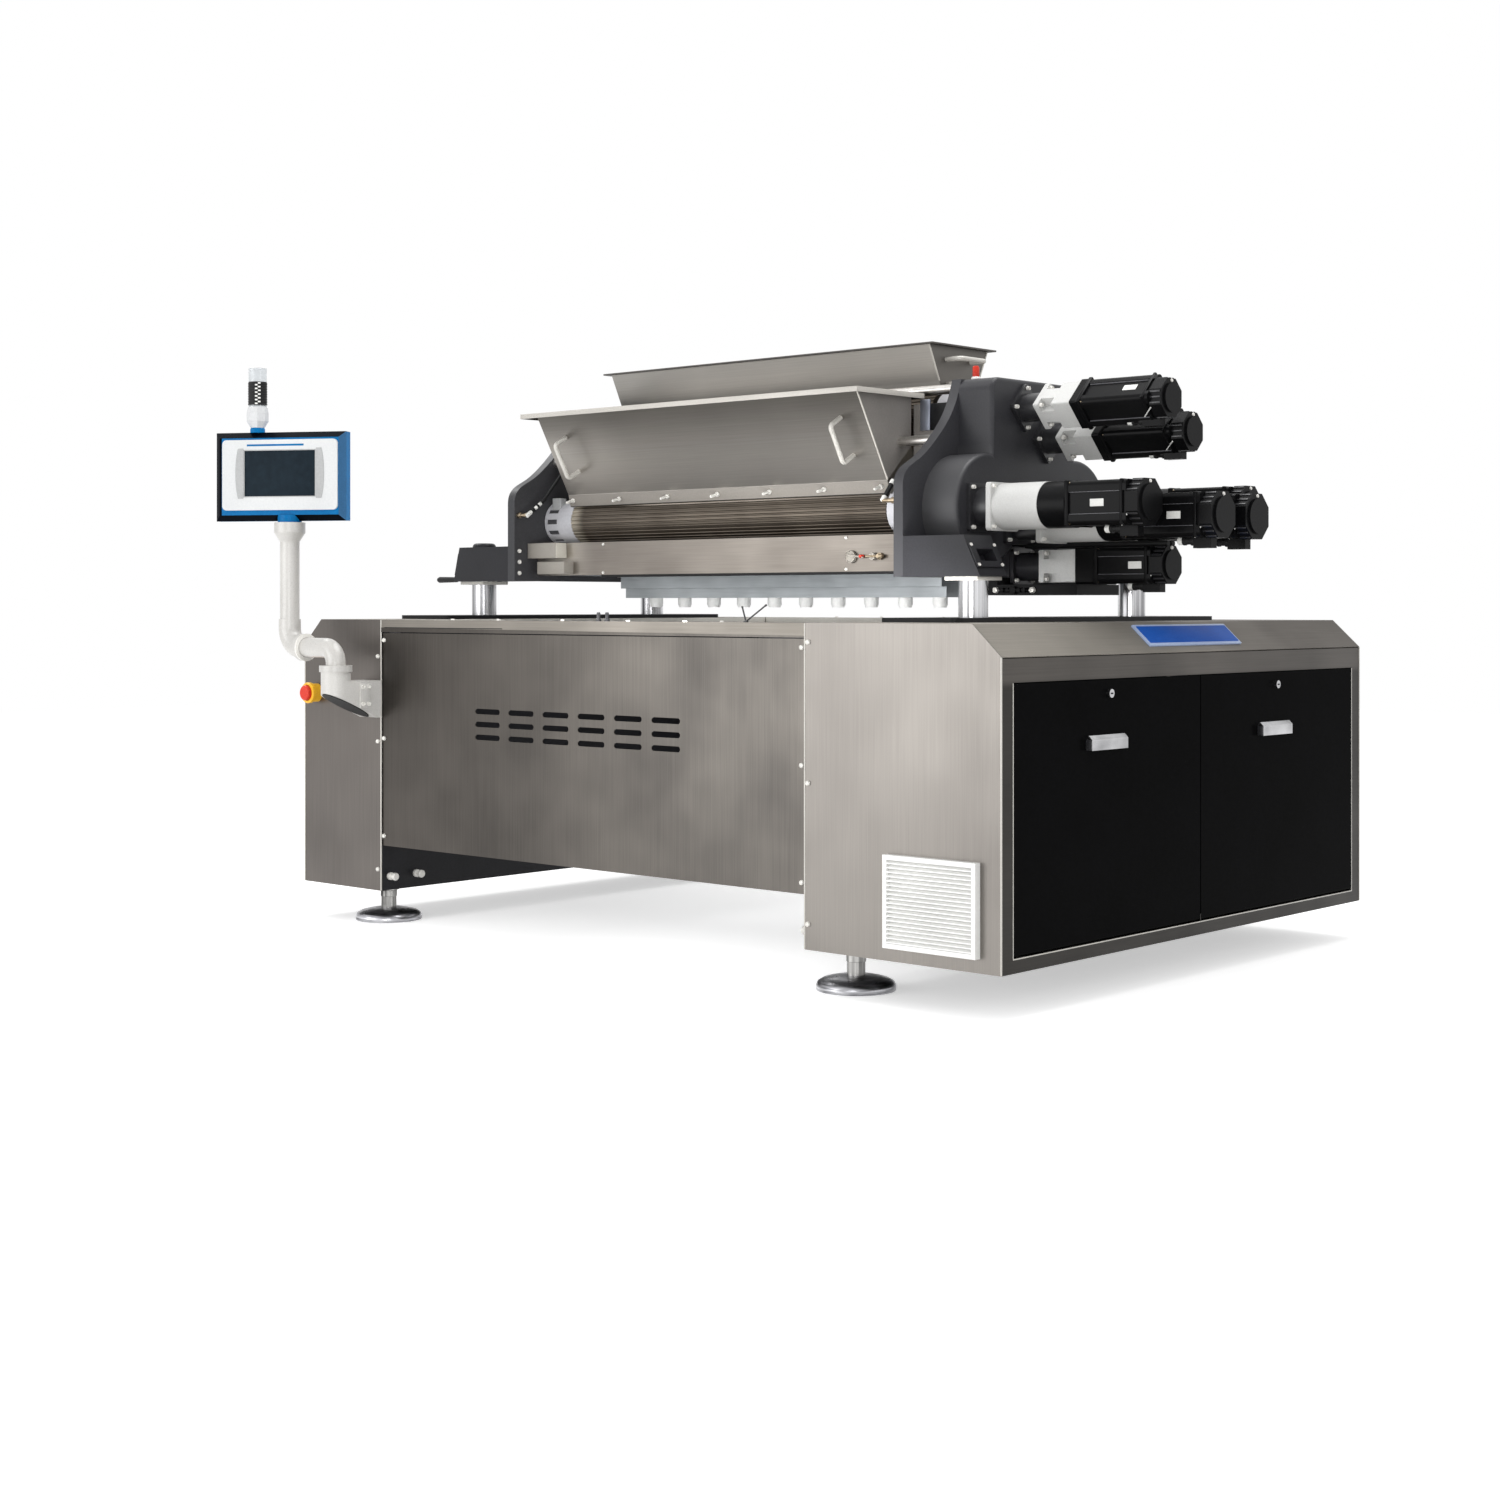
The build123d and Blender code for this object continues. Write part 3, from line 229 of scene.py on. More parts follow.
# %% Coatings and plastics
def coated(name, dark, light, grain, relief, rough, shine=0.5, edge=None, below=None):
    """Paint or plastic with a grain in mm, a relief from 0 to 1, and a specular level.

    With edge, faces that do not look along x take that tone, as on a plate with machined edges.
    With below, only those under the first of two heights in mm do, in full under the second."""
    made, tree = blank(name)
    place = add(tree, "TexCoord").outputs["Object"]
    peel = add(tree, "TexNoise", {"Vector": place, "Scale": 1 / (grain * MM), "Detail": 2.0})
    drift = add(tree, "TexNoise", {"Vector": place, "Scale": 5.0, "Detail": 3.0})
    both = add(tree, "Mix", {"Factor": 0.55, "A": peel, "B": drift})
    spread = add(tree, "MapRange", {"Value": both, "From Min": 0.32, "From Max": 0.68})
    tone = add(tree, "Mix", {"Factor": spread, "A": dark, "B": light}, data_type="RGBA")
    if edge:
        rim = add(tree, "MapRange", {"Value": sideways(tree), "From Min": 0.9, "From Max": 0.6})
        if below:
            start, stop = below
            height = add(tree, "SeparateXYZ", {0: place}).outputs["Z"]
            ends = {"Value": height, "From Min": start * MM, "From Max": stop * MM}
            low = add(tree, "MapRange", ends)
            rim = add(tree, "Math", {0: rim, 1: low}, operation="MULTIPLY")
        tone = add(tree, "Mix", {"Factor": rim, "A": tone, "B": edge}, data_type="RGBA")
    gloss = {"Value": peel, "To Min": rough - 0.06, "To Max": rough + 0.06}
    shader = add(tree, "BsdfPrincipled", {
        "Base Color": tone,
        "Specular IOR Level": shine,
        "Roughness": add(tree, "MapRange", gloss),
        "Normal": add(tree, "Bump", {"Height": peel, "Strength": relief, "Distance": 0.0006}),
    })
    add(tree, "OutputMaterial", {"Surface": shader})
    return made


# powder coat on castings: charcoal with a fine grain
cast_black = coated("charcoal_powder_coat", "1f1f22", "2a2a2e", 5, 0.3, 0.44, 0.25)
# the drive cover is paler on faces that do not look along x, low down at its round housings:
# painted light from the front left
cover_black = coated(
    "charcoal_cover_coat", "2a2a2d", "353539", 5, 0.3, 0.44, 0.3, "474749", (1440, 1390))
# the right plate's edges take a paler tone than its face: painted light
plate_black = coated("charcoal_plate", "323235", "3e3e42", 5, 0.3, 0.46, 0.3, "3b3b3e")
# the left plate is a lighter copy of the plate coat: painted light on a face the hopper shades
left_black = coated("charcoal_left_plate", "38383a", "444447", 5, 0.3, 0.46, 0.3)
adapter_black = coated("oxide_black_steel", "222224", "2f2f32", 5, 0.15, 0.34, 0.6)
deck_black = coated("satin_black_deck", "121213", "1b1b1d", 6, 0.2, 0.42, 0.2)
# black on the cabinet side sheets is painted shade, for sheets that lie in shadow
side_black = coated("shade_black_side_sheet", "141416", "1e1e22", 8, 0.15, 0.4, 0.25)
# stoving enamel on the motors: deep black with a sharp edge light
motor_black = coated("stove_black_motor", "0a0a0b", "121213", 6, 0.15, 0.32, 0.08)
# the ribs take a paler black, a painted highlight, so that they show as pale lines
rib_black = coated("black_rib_painted_highlight", "545458", "6e6e72", 5, 0.15, 0.3, 0.5)
# polished black sheet: almost no colour of its own
door_black = coated("polished_black_door", "0a0a0a", "0e0e0f", 12, 0.02, 0.2, 0.005)
primer = coated("grey_primer", "4c4c4e", "5d5d60", 5, 0.3, 0.6)
drive_grey = coated("moulded_drive_grey", "3a3a3c", "4a4a4d", 4, 0.2, 0.5)
# machined food plastic: a clean, slightly waxy white
white_plastic = coated("machined_white_plastic", "ececea", "fafaf8", 8, 0.1, 0.45)
panel_blue = coated("satin_panel_blue", "005c96", "0472ae", 6, 0.1, 0.34, 0.1)
# enamel on the blank plate, a little more violet than the panel
plate_blue = coated("enamel_plate_blue", "1f4fa4", "2c5fb6", 5, 0.1, 0.34, 0.02)
plate_pale = coated("enamel_plate_border", "93a6cc", "b4c2dc", 5, 0.1, 0.34, 0.2)
# the right chamfer's slate tone is painted light
panel_slate = coated("slate_blue_painted_light", "22527a", "2d618b", 5, 0.15, 0.4, 0.3)
# near-black for painted shade on the panel's chamfers and in the lock keyways
shade_black = coated("black_painted_shade", "03060c", "080d16", 5, 0.2, 0.4, 0.02)
bezel_white = coated("moulded_bezel_white", "c8cacb", "d6d7d7", 5, 0.15, 0.42)
pad_grey = coated("moulded_pad_grey", "9c9d9e", "b2b3b3", 5, 0.2, 0.5)
# unlit display: dark slate under plain glass
screen_dark = coated("unlit_display", "171f26", "1f2a32", 20, 0.0, 0.18, 0.03)
beacon_white = coated("moulded_beacon_white", "bcbdbf", "d2d3d4", 5, 0.15, 0.4)
stop_yellow = coated("moulded_stop_yellow", "efb01e", "fcc536", 4, 0.15, 0.4)
stop_red = coated("moulded_stop_red", "c92d1a", "da3d29", 4, 0.1, 0.3, 0.3)
label_white = coated("blank_white_label", "dededa", "f0f0ec", 3, 0.05, 0.5)
# satin castings of the operator arm, and strips on the hoppers: pale, with a fine even grain
arm_grey = coated("satin_arm_casting", "c0beba", "d2d0cc", 4, 0.1, 0.36, 0.6)
tube_grey = coated("satin_arm_tube", "b4b2ae", "cac8c4", 4, 0.1, 0.3, 0.8)
lip_grey = coated("satin_lip_strip", "85807a", "938e87", 4, 0.1, 0.5, 0.3)
rim_pale = coated("pale_hopper_rim", "b4b0a9", "c6c2bb", 4, 0.1, 0.45, 0.4)
# white plastic on the roller ends, a little greyer and bluer than the nozzles
collar_white = coated("greyish_white_plastic", "b8b8bd", "c9c9cd", 8, 0.1, 0.45)
fixing_grey = coated("satin_fixing_plate", "918c84", "a09b93", 4, 0.1, 0.5, 0.4)
# the block's pale end: painted light on a face in shade
fixing_pale = coated("fixing_end_painted_light", "cac6bb", "dad6cb", 4, 0.1, 0.4, 0.5)
# pale strips: painted highlights on bent sheet edges, painted light on shaded faces inside the
# rails, and the pale column plates
edge_steel = coated("pale_painted_light_and_plate", "bab7b0", "cfccc5", 4, 0.1, 0.4, 0.5)
# plated screws and polished rods: small and bright, with no direction to see
zinc = coated("bright_zinc_plate", "d6d4cf", "f2f0ea", 3, 0.1, 0.3, 0.7)
handle_pale = coated("polished_handle_rod", "bebbb4", "d6d3cc", 4, 0.05, 0.3, 0.6)
# a darker grey: painted shade on the ends of the front and rear hoppers; the aprons take it too
end_grey = coated("satin_hopper_end", "7c7874", "8a8682", 4, 0.1, 0.5, 0.3)
# pale lines down hopper corners: painted highlights
corner_glint_pale = coated("painted_corner_highlight", "c6c2ba", "dcd8d0", 4, 0.1, 0.45, 0.4)
rim_dark = coated("dark_centre_rim", "4a4744", "5a5652", 4, 0.1, 0.5, 0.3)
# dark rubber, and the same black for dark strips that are painted shade in gaps and under edges
black_rubber_and_shade = coated("black_rubber_and_shade", "121212", "1c1c1d", 3, 0.4, 0.62, 0.3)
print("with the coatings", len(bpy.data.materials))

# %% [markdown]
# Gearheads are bead-blasted aluminium: pale, with a fine grain and no direction, so the recipe for
# coatings suits them. The beacon lens is clear moulded plastic, which lets light through.

# %% Blasted aluminium and clear plastic
blasted = coated("blasted_aluminium", "bebebc", "cececc", 4, 0.3, 0.5, 0.5)
die_grey = ground_steel("anodised_blue_grey", ("acb1b4", "bdc2c5"), (90, 5, 5), 120, 0.45)
clear, tree = blank("clear_moulded_lens")
place = add(tree, "TexCoord").outputs["Object"]
swirl = add(tree, "TexNoise", {"Vector": place, "Scale": 1 / (9 * MM), "Detail": 2.0})
lens = add(tree, "BsdfPrincipled", {
    "Base Color": "dfe3e6",
    "Transmission Weight": 0.8,
    "IOR": 1.49,
    "Roughness": add(tree, "MapRange", {"Value": swirl, "To Min": 0.05, "To Max": 0.2}),
    "Normal": add(tree, "Bump", {"Height": swirl, "Strength": 0.05, "Distance": 0.0006}),
})
add(tree, "OutputMaterial", {"Surface": lens})
print("materials", len(bpy.data.materials))

# %% [markdown]
# Each solid keeps its shape and takes the finish of the real part, with some tones painted light
# and shade. The record groups the parts by material slot, and a few sheets in one slot take
# different tones, so the list is by part.

# %% Dress the solids
finishes = {
    cabinet_steel: "cabinet_end_sheets",
    rail_steel: "top_rails",
    side_black: "cabinet_side_sheets",
    top_steel: "cabinet_tops",
    panel_steel: "centre_panels",
    rim_steel: "door_surround",
    hopper_steel: "front_hopper rear_hopper",
    centre_steel: "centre_hopper",
    beam_steel: "cross_beams",
    arm_grey: "hmi_bracket",
    tube_grey: "arm_elbow arm_pole",
    bright_steel: "cross_rods roller_bearings",
    handle_pale: "hopper_handles",
    roller_steel: "front_outer_roller front_inner_roller centre_front_roller centre_rear_roller "
    "rear_inner_roller rear_outer_roller dosing_rotor",
    chrome: "columns",
    pull_chrome: "front_door_pull rear_door_pull front_door_lock rear_door_lock",
    turned_steel: "foot_stems",
    pad_steel: "foot_pads",
    primer: "cabinet_frames cross_members lift_housings column_bushes door_pivot_pins",
    cast_black: "column_brackets clamp_lever",
    cover_black: "gear_cover",
    plate_black: "right_side_plate",
    left_black: "left_side_plate",
    adapter_black: "motor_adapters",
    deck_black: "deck_plates",
    motor_black: "servo_motors motor_shelf",
    blasted: "gearheads",
    drive_grey: "servo_drives",
    door_black: "front_door rear_door",
    white_plastic: "nozzles vent_grille",
    collar_white: "end_collars",
    die_grey: "die_block manifold",
    panel_blue: "hmi_case",
    bezel_white: "hmi_bezel",
    screen_dark: "hmi_screen",
    beacon_white: "beacon_base",
    clear: "beacon_lens",
    stop_yellow: "estop_base",
    stop_red: "estop_button",
}
dressed = set()
for finish, names in finishes.items():
    for name in names.split():
        slots = nodes[name].data.materials
        slots.clear()
        slots.append(finish)
        dressed.add(name)
print("dressed", len(dressed), "of", len(nodes), sorted(set(nodes) - dressed))

# %% [markdown]
# Small fittings are modelled in millimetres, in the same frame as the solids. One function finishes
# each: it merges doubles, turns the faces outwards, scales to metres and lets the piece ride on the
# body that carries it. Screws, turned parts and blocks come up again and again, so each has a
# helper.

# %% Helpers for fittings
UP, RIGHT, LEFT, FRONT = (0, 0, 1), (1, 0, 0), (-1, 0, 0), (0, -1, 0)
BOTH = (-1, 1)


def fresh(count):
    """So many empty meshes to build in."""
    return [bmesh.new() for _ in range(count)]


def onto(axis, at):
    """The turn and shift that stand a piece made along +z at a place, along an axis."""
    turn = Vector(UP).rotation_difference(Vector(axis))
    return Matrix.Translation(at) @ turn.to_matrix().to_4x4()


def axes(x, y, z, at):
    """A matrix with the given axes, standing at a place."""
    made = Matrix((x, y, z)).transposed().to_4x4()
    made.translation = at
    return made


def finished(name, bm, finish, body="head"):
    """Turn a bmesh in mm into a piece that rides on a body, with the given finish."""
    bmesh.ops.remove_doubles(bm, verts=bm.verts, dist=0.005)
    bmesh.ops.recalc_face_normals(bm, faces=bm.faces)
    bmesh.ops.scale(bm, vec=(MM, MM, MM), verts=bm.verts)
    mesh = bpy.data.meshes.new(name)
    bm.to_mesh(mesh)
    bm.free()
    mesh.shade_smooth()
    mesh.set_sharp_from_angle(angle=radians(32))
    mesh.materials.append(finish)
    made = bpy.data.objects.new(name, mesh)
    scene.collection.objects.link(made)
    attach(made, body)
    print(name, len(mesh.polygons), "faces on", body)


def since(bm, before):
    """The vertices that were added after a set of them was taken."""
    return [vert for vert in bm.verts if vert not in before]


def screw(bm, at, axis, radius, height, sides=10):
    """A socket head screw: a drum that narrows a little, with a sunk socket."""
    before = set(bm.verts)
    head = bmesh.ops.create_cone(
        bm, cap_ends=True, segments=sides, radius1=radius, radius2=radius * 0.88,
        depth=height)["verts"]
    bmesh.ops.translate(bm, vec=(0, 0, height / 2), verts=head)
    faces = {face for vert in head for face in vert.link_faces}
    top = max(faces, key=lambda face: face.calc_center_median().z)
    bmesh.ops.inset_region(bm, faces=[top], thickness=radius * 0.38)
    bmesh.ops.translate(bm, vec=(0, 0, -height * 0.55), verts=top.verts)
    bmesh.ops.transform(bm, matrix=onto(axis, at), verts=since(bm, before))


def turned(bm, profile, at, axis, steps=24):
    """Spin a profile of radius and height pairs into a turned part."""
    before = set(bm.verts)
    points = [bm.verts.new((radius, 0, height)) for radius, height in profile]
    edges = [bm.edges.new(pair) for pair in zip(points, points[1:])]
    bmesh.ops.spin(
        bm, geom=points + edges, axis=UP, cent=(0, 0, 0), angle=2 * pi, steps=steps, use_merge=True)
    bmesh.ops.transform(bm, matrix=onto(axis, at), verts=since(bm, before))


def link(bm, start, end, profile, steps=12):
    """A turned part between two places; the profile's heights run from 0 to 1."""
    start, end = Vector(start), Vector(end)
    length = (end - start).length
    turned(bm, [(radius, height * length) for radius, height in profile], start, end - start, steps)


def drum(*points):
    """A solid profile: radius and height pairs, closed to the axis at both ends."""
    return [(0, points[0][1]), *points, (0, points[-1][1])]


def rod(radius):
    """The profile of a plain rod for a link."""
    return drum((radius, 0), (radius, 1))


def ring(inner, outer, low, high):
    """The closed profile of a square-cut ring."""
    return [(inner, low), (outer, low), (outer, high), (inner, high), (inner, low)]


def block(bm, corner, opposite, edge, matrix=None):
    """A block between two opposite corners, with its edges broken."""
    size = [abs(b - a) for a, b in zip(corner, opposite)]
    middle = [(a + b) / 2 for a, b in zip(corner, opposite)]
    made = bmesh.ops.create_cube(bm, size=1)["verts"]
    bmesh.ops.scale(bm, vec=size, verts=made)
    bmesh.ops.translate(bm, vec=middle, verts=made)
    if matrix:
        bmesh.ops.transform(bm, matrix=matrix, verts=made)
    edges = list({side for vert in made for side in vert.link_edges})
    bmesh.ops.bevel(
        bm, geom=edges, offset=edge, affect="EDGES", segments=2, profile=0.5, material=-1)


def frame_plate(bm, window, border, thick, matrix):
    """A flat plate round a window: its x and y run along the first two axes of the matrix."""
    made = bmesh.ops.create_grid(bm, x_segments=3, y_segments=3, size=1)["verts"]
    sides = []
    for k in (0, 1):
        inner = [vert for vert in made if abs(vert.co[k]) < 0.5]
        sides.append((inner, [vert for vert in made if vert not in inner]))
    for k, (inner, outer) in enumerate(sides):
        wide = Vector((1, 1, 1))
        # the grid's inner lines lie at a third of its half size
        wide[k] = window[k] * 1.5
        bmesh.ops.scale(bm, vec=wide, verts=inner)
        wide[k] = window[k] / 2 + border[k]
        bmesh.ops.scale(bm, vec=wide, verts=outer)
    faces = {face for vert in made for face in vert.link_faces}
    middle = min(faces, key=lambda face: face.calc_center_median().length)
    bmesh.ops.delete(bm, geom=[middle], context="FACES_ONLY")
    bmesh.ops.transform(bm, matrix=matrix, verts=made)
    bmesh.ops.solidify(bm, geom=list(faces - {middle}), thickness=-thick)


print("helpers ready")

# %% [markdown]
# The sheets of the base are held by socket screws down their edges. On the machine the heads are a
# dozen millimetres across. They sit on the face of the sheet, front and back alike. Longer bolts
# with a flange hold the black sheets between the cabinets.

# %% Screws in the base
SHEET_FACE, PANEL_FACE, RAIL_MIDDLE, TABLE = 908, 904, 893, 945
screw_rows = (
    (853, SHEET_FACE, (896, 536, 176)),
    (-893, SHEET_FACE, (832, 570, 176)),
    (829, PANEL_FACE, (882, 580, 280)),
    (-868, PANEL_FACE, (882, 580, 280)),
)
bm = bmesh.new()
for side in BOTH:
    for x, face, heights in screw_rows:
        for z in heights:
            screw(bm, (x, side * face, z), (0, side, 0), 7, 5)
    for x in (-559, -352, -79, 185, 403, 539):
        screw(bm, (x, side * RAIL_MIDDLE, TABLE), UP, 6, 4)
bolt = drum((11, -1), (12, 1), (12, 9), (7, 11), (7, 21), (11, 22), (12, 24), (12, 31), (10, 33))
for y in (-875, -772, 772, 875):
    turned(bm, bolt, (-879, y, 153), RIGHT, 12)
    turned(bm, bolt, (841, y, 153), LEFT, 12)
finished("base_screws", bm, zinc, "base")

# %% [markdown]
# Where sheet is bent or cut, its edge catches the light. Thin pale strips are painted highlights
# for those lines: down the corners of both cabinets, and beside and under the doors. Pale strips on
# the inside of the rails and on the folded edges of the tops are painted light on faces in shade. A
# black sealing strip on the post between the doors closes the gap to the eye. The top of each
# centre panel laps a little over the rail, more at its left end, with a thin dark strip above it
# that is painted shade for the gap.

# %% Pale sheet edges
edges, lit_strips, seal_and_shade_strip, laps, gaps = fresh(5)
DOOR_RIM, RAIL_FOOT, RAIL_TOP = (1454.5, 1456.8), 909, 944.5
# pale strips down the cabinet corners and by the doors: painted highlights
for side in BOTH:
    y = side * 907.5
    for x, top in ((1455.5, 866), (841.5, 944), (-879.5, 944), (-1264.5, 866)):
        block(edges, (x - 2.2, y - 1.5, 111), (x + 2.2, y + 1.5, top), 0.6)
for y in (-860, 860):
    block(edges, (DOOR_RIM[0], y - 1.5, 144), (DOOR_RIM[1], y + 1.5, 804), 0.6)
block(edges, (DOOR_RIM[0], -861, 142.5), (DOOR_RIM[1], 861, 145.5), 0.6)
finished("sheet_edge_highlights", edges, edge_steel, "base")
# pale strips on the shaded faces inside the rails: painted light
for side in BOTH:
    block(lit_strips, (-876, side * 866.5, RAIL_FOOT), (838, side * 868.4, RAIL_TOP), 0.6)
for x in (-878.3, 840.3):
    block(lit_strips, (x - 0.9, -866, RAIL_FOOT), (x + 0.9, 866, RAIL_TOP), 0.5)
finished("rail_painted_light", lit_strips, edge_steel, "base")
block(seal_and_shade_strip, (1432.6, -14, 147), (1434.2, 14, 803), 0.4)
finished("post_seal", seal_and_shade_strip, black_rubber_and_shade, "base")
for side in BOTH:
    lap = bmesh.ops.create_cube(laps, size=1)["verts"]
    bmesh.ops.scale(laps, vec=(1718, 2, 5), verts=lap)
    bmesh.ops.translate(laps, vec=(-19, side * SHEET_FACE, 909.5), verts=lap)
    tip = [vert for vert in lap if vert.co.x < 0 and vert.co.z > 910]
    bmesh.ops.translate(laps, vec=(0, 0, 9), verts=tip)
    # a dark strip for the gap above each lap: painted shade
    block(gaps, (-862, side * 907, 919.6), (-320, side * 909, 922), 0.4)
finished("panel_tops", laps, panel_steel, "base")
finished("panel_gap_shade", gaps, black_rubber_and_shade, "base")

# %% [markdown]
# Each foot has a polished sleeve over its thread and a domed cover over its pad. Both are turned
# parts.

# %% Foot covers
sleeves, domes = fresh(2)
sleeve = [(20, 36), (24, 37), (24, 72), (26, 73), (26, 90), (20, 91)]
dome = [(103, 2), (103.6, 6), (103.6, 14), (99, 22), (86, 29), (60, 35), (24, 38), (20, 38)]
for x in (-999, 908):
    for y in (-782, 782):
        turned(sleeves, sleeve, (x, y, 0), UP, 32)
        turned(domes, dome, (x, y, 0), UP, 48)
finished("foot_sleeves", sleeves, turned_steel, "base")
finished("foot_domes", domes, pad_steel, "base")

# %% [markdown]
# Small things stand on the front rail: two stud pins for a stop, and a bent wire feeler that
# touches the band. The feeler is two thin rods on one foot.

# %% Pins and feeler on the rail
bm = bmesh.new()
stop_pin = drum((8, -1), (8, 5), (5.5, 7), (5.5, 22), (4, 25))
for x in (68, 102):
    turned(bm, stop_pin, (x, -RAIL_MIDDLE, TABLE), UP, 12)
FEELER = 625
turned(bm, drum((7, -1), (7, 3), (4, 5)), (FEELER, -RAIL_MIDDLE, TABLE), UP, 12)
wire = [(0, 0), (2.2, 0), (2.2, 0.9), (3, 0.93), (3, 0.97), (0, 1)]
for x, z in ((611, 988), (699, 992)):
    link(bm, (FEELER, -RAIL_MIDDLE, TABLE + 2), (x, -RAIL_MIDDLE, z), wire, 8)
finished("rail_fittings", bm, adapter_black, "base")

# %% [markdown]
# The lip of the front and rear hopper is a strip of duller sheet, held by short studs with a nut,
# and a dark line along its lower edge is a painted shadow. Each stud stands square on the strip,
# which leans a little, and is long enough to be turned by hand. The turned-down rim at the top is
# paler, and the rim of the centre hopper darker. A darker sheet over each end is painted shade on
# faces that look along x, and on the drive side pale lines down the corners are painted highlights.

# %% Hopper lips, ends and studs
studs, strips, lip_shadows, rims, ends, corner_glints, centre_rims = fresh(7)
LIP, LIP_END, HOPPER_CORNER_X = 327, 651.5, 652
RIM_FOOT, RIM_TOP, CENTRE_FOOT, CENTRE_TOP = 1576, 1590.6, 1739.6, 1744.4
stud = drum((7, -1), (7.5, 2), (7.5, 6), (6, 8), (4.5, 8), (4.5, 32), (3.5, 34))
for side in BOTH:
    lean = Vector((0, side * 38, -10)).normalized()
    rise = Vector((0, side * 10, 38)).normalized()
    stand = axes(Vector((-side, 0, 0)), rise, lean, Vector((0, side * LIP, 1323)))
    block(strips, (-LIP_END, -18, -0.5), (LIP_END, 18.5, 1.5), 0.4, stand)
    # a dark line under the lower edge of the strip: painted shadow
    block(lip_shadows, (-LIP_END, -19.5, -0.5), (LIP_END, -17.5, 2), 0.4, stand)
    block(rims, (-685.8, side * 507.5, RIM_FOOT), (685.8, side * 509, RIM_TOP), 0.4)
    for x in (-685.4, 685.4):
        block(rims, (x - 0.8, side * 207, RIM_FOOT), (x + 0.8, side * 508, RIM_TOP), 0.4)
    for step in range(7):
        turned(studs, stud, Vector((-633 + 210 * step, side * LIP, 1324)), lean, 10)
    low, high = (-674.8, side * 154.4, CENTRE_FOOT), (674.8, side * 155.8, CENTRE_TOP)
    block(centre_rims, low, high, 0.4)
    low, high = (side * 673.4, -155, CENTRE_FOOT), (side * 674.8, 155, CENTRE_TOP)
    block(centre_rims, low, high, 0.4)
    # an end is a thin cube whose corners are moved to the hopper's outline; its darker grey is
    # painted shade
    outline = [(side * y, z) for y, z in ((330, 1344), (467, 1585), (226, 1441), (226, 1585))]
    for end in BOTH:
        for vert in bmesh.ops.create_cube(ends, size=1)["verts"]:
            y, z = outline[2 * (vert.co.y > 0) + (vert.co.z > 0)]
            vert.co = (end * 652.5 + vert.co.x * 1.4, y, z)
    # pale lines down the hopper corners: painted highlights
    link(corner_glints, (HOPPER_CORNER_X, side * 332, 1343), (HOPPER_CORNER_X, side * 469, 1586), rod(2.4), 8)
    link(corner_glints, (HOPPER_CORNER_X, side * 92, 1638), (HOPPER_CORNER_X, side * 140, 1740), rod(2.4), 8)
finished("hopper_ends", ends, end_grey)
finished("hopper_corner_highlights", corner_glints, corner_glint_pale)
finished("centre_rims", centre_rims, rim_dark)
finished("hopper_lips", strips, lip_grey)
finished("hopper_rims", rims, rim_pale)
finished("lip_shadow_lines", lip_shadows, black_rubber_and_shade, "head")
finished("hopper_studs", studs, zinc)

# %% [markdown]
# Seven drives turn the rollers and the dosing rotor. Each is an adapter, a gearhead and a motor in
# a row, bolted at its corners. The list repeats the stations of the solids, so that each bolt head
# sits on its flange: first where the axis lies, then where neck, motor and cap begin and end along
# x, the sides of the two squares, and the turn of the whole drive in degrees.

# %% Drive stations
Drive = namedtuple("Drive", "y z neck spacer end flange motor turn")
WIDE = 132
drives = []
for side in BOTH:
    drives.append(Drive(258 * side, 1258, 985, 1235, 1466, WIDE, 118, 0))
    drives.append(Drive(88 * side, 1227, 1031, 1300, 1582, WIDE, 118, 0))
drives.append(Drive(-55, 1545, 996, 1140, 1406, 100, 100, 45))
drives.append(Drive(55, 1461, 996, 1140, 1406, 100, 100, 45))
low_drive = Drive(0, 1099, 966, 1150, 1373, 100, 100, 0)
drives.append(low_drive)


def corners(drive, reach):
    """The four corner places of a square flange, as y and z."""
    for quarter in range(4):
        angle = radians(45 + 90 * quarter + drive.turn)
        yield drive.y + reach * 2 ** 0.5 * cos(angle), drive.z + reach * 2 ** 0.5 * sin(angle)


def about_x(degrees):
    """A turn about the x axis."""
    return Matrix.Rotation(radians(degrees), 4, "X")


def station(drive):
    """The matrix that puts a piece made along the x axis on the axis of a drive."""
    return Matrix.Translation((0, drive.y, drive.z)) @ about_x(drive.turn)


print(len(drives), "drives")

# %% [markdown]
# Four bolts hold each adapter to the cover, and four more hold the gearhead to the adapter. They
# stand in the corners of the flanges, so one function for the corners serves all of them. The
# lowest drive has no cover behind it and sits on the side plate.

# %% Bolts on the drives
bm = bmesh.new()
for drive in drives:
    seat = 870 if drive is low_drive else 921
    for y, z in corners(drive, drive.flange / 2 - 11):
        screw(bm, (seat + 12, y, z), RIGHT, 6, 9)
    inset = 11 if drive.flange == WIDE else 14
    for y, z in corners(drive, drive.flange / 2 - inset):
        screw(bm, (drive.neck + 16, y, z), RIGHT, 6, 9)
finished("drive_bolts", bm, zinc)

# %% [markdown]
# A motor has a square flange at either end of its housing, and a cap with a screw at the top. Each
# flange is a thin block with broken edges. The bolts to the gearhead are zinc plated and slightly
# yellow.

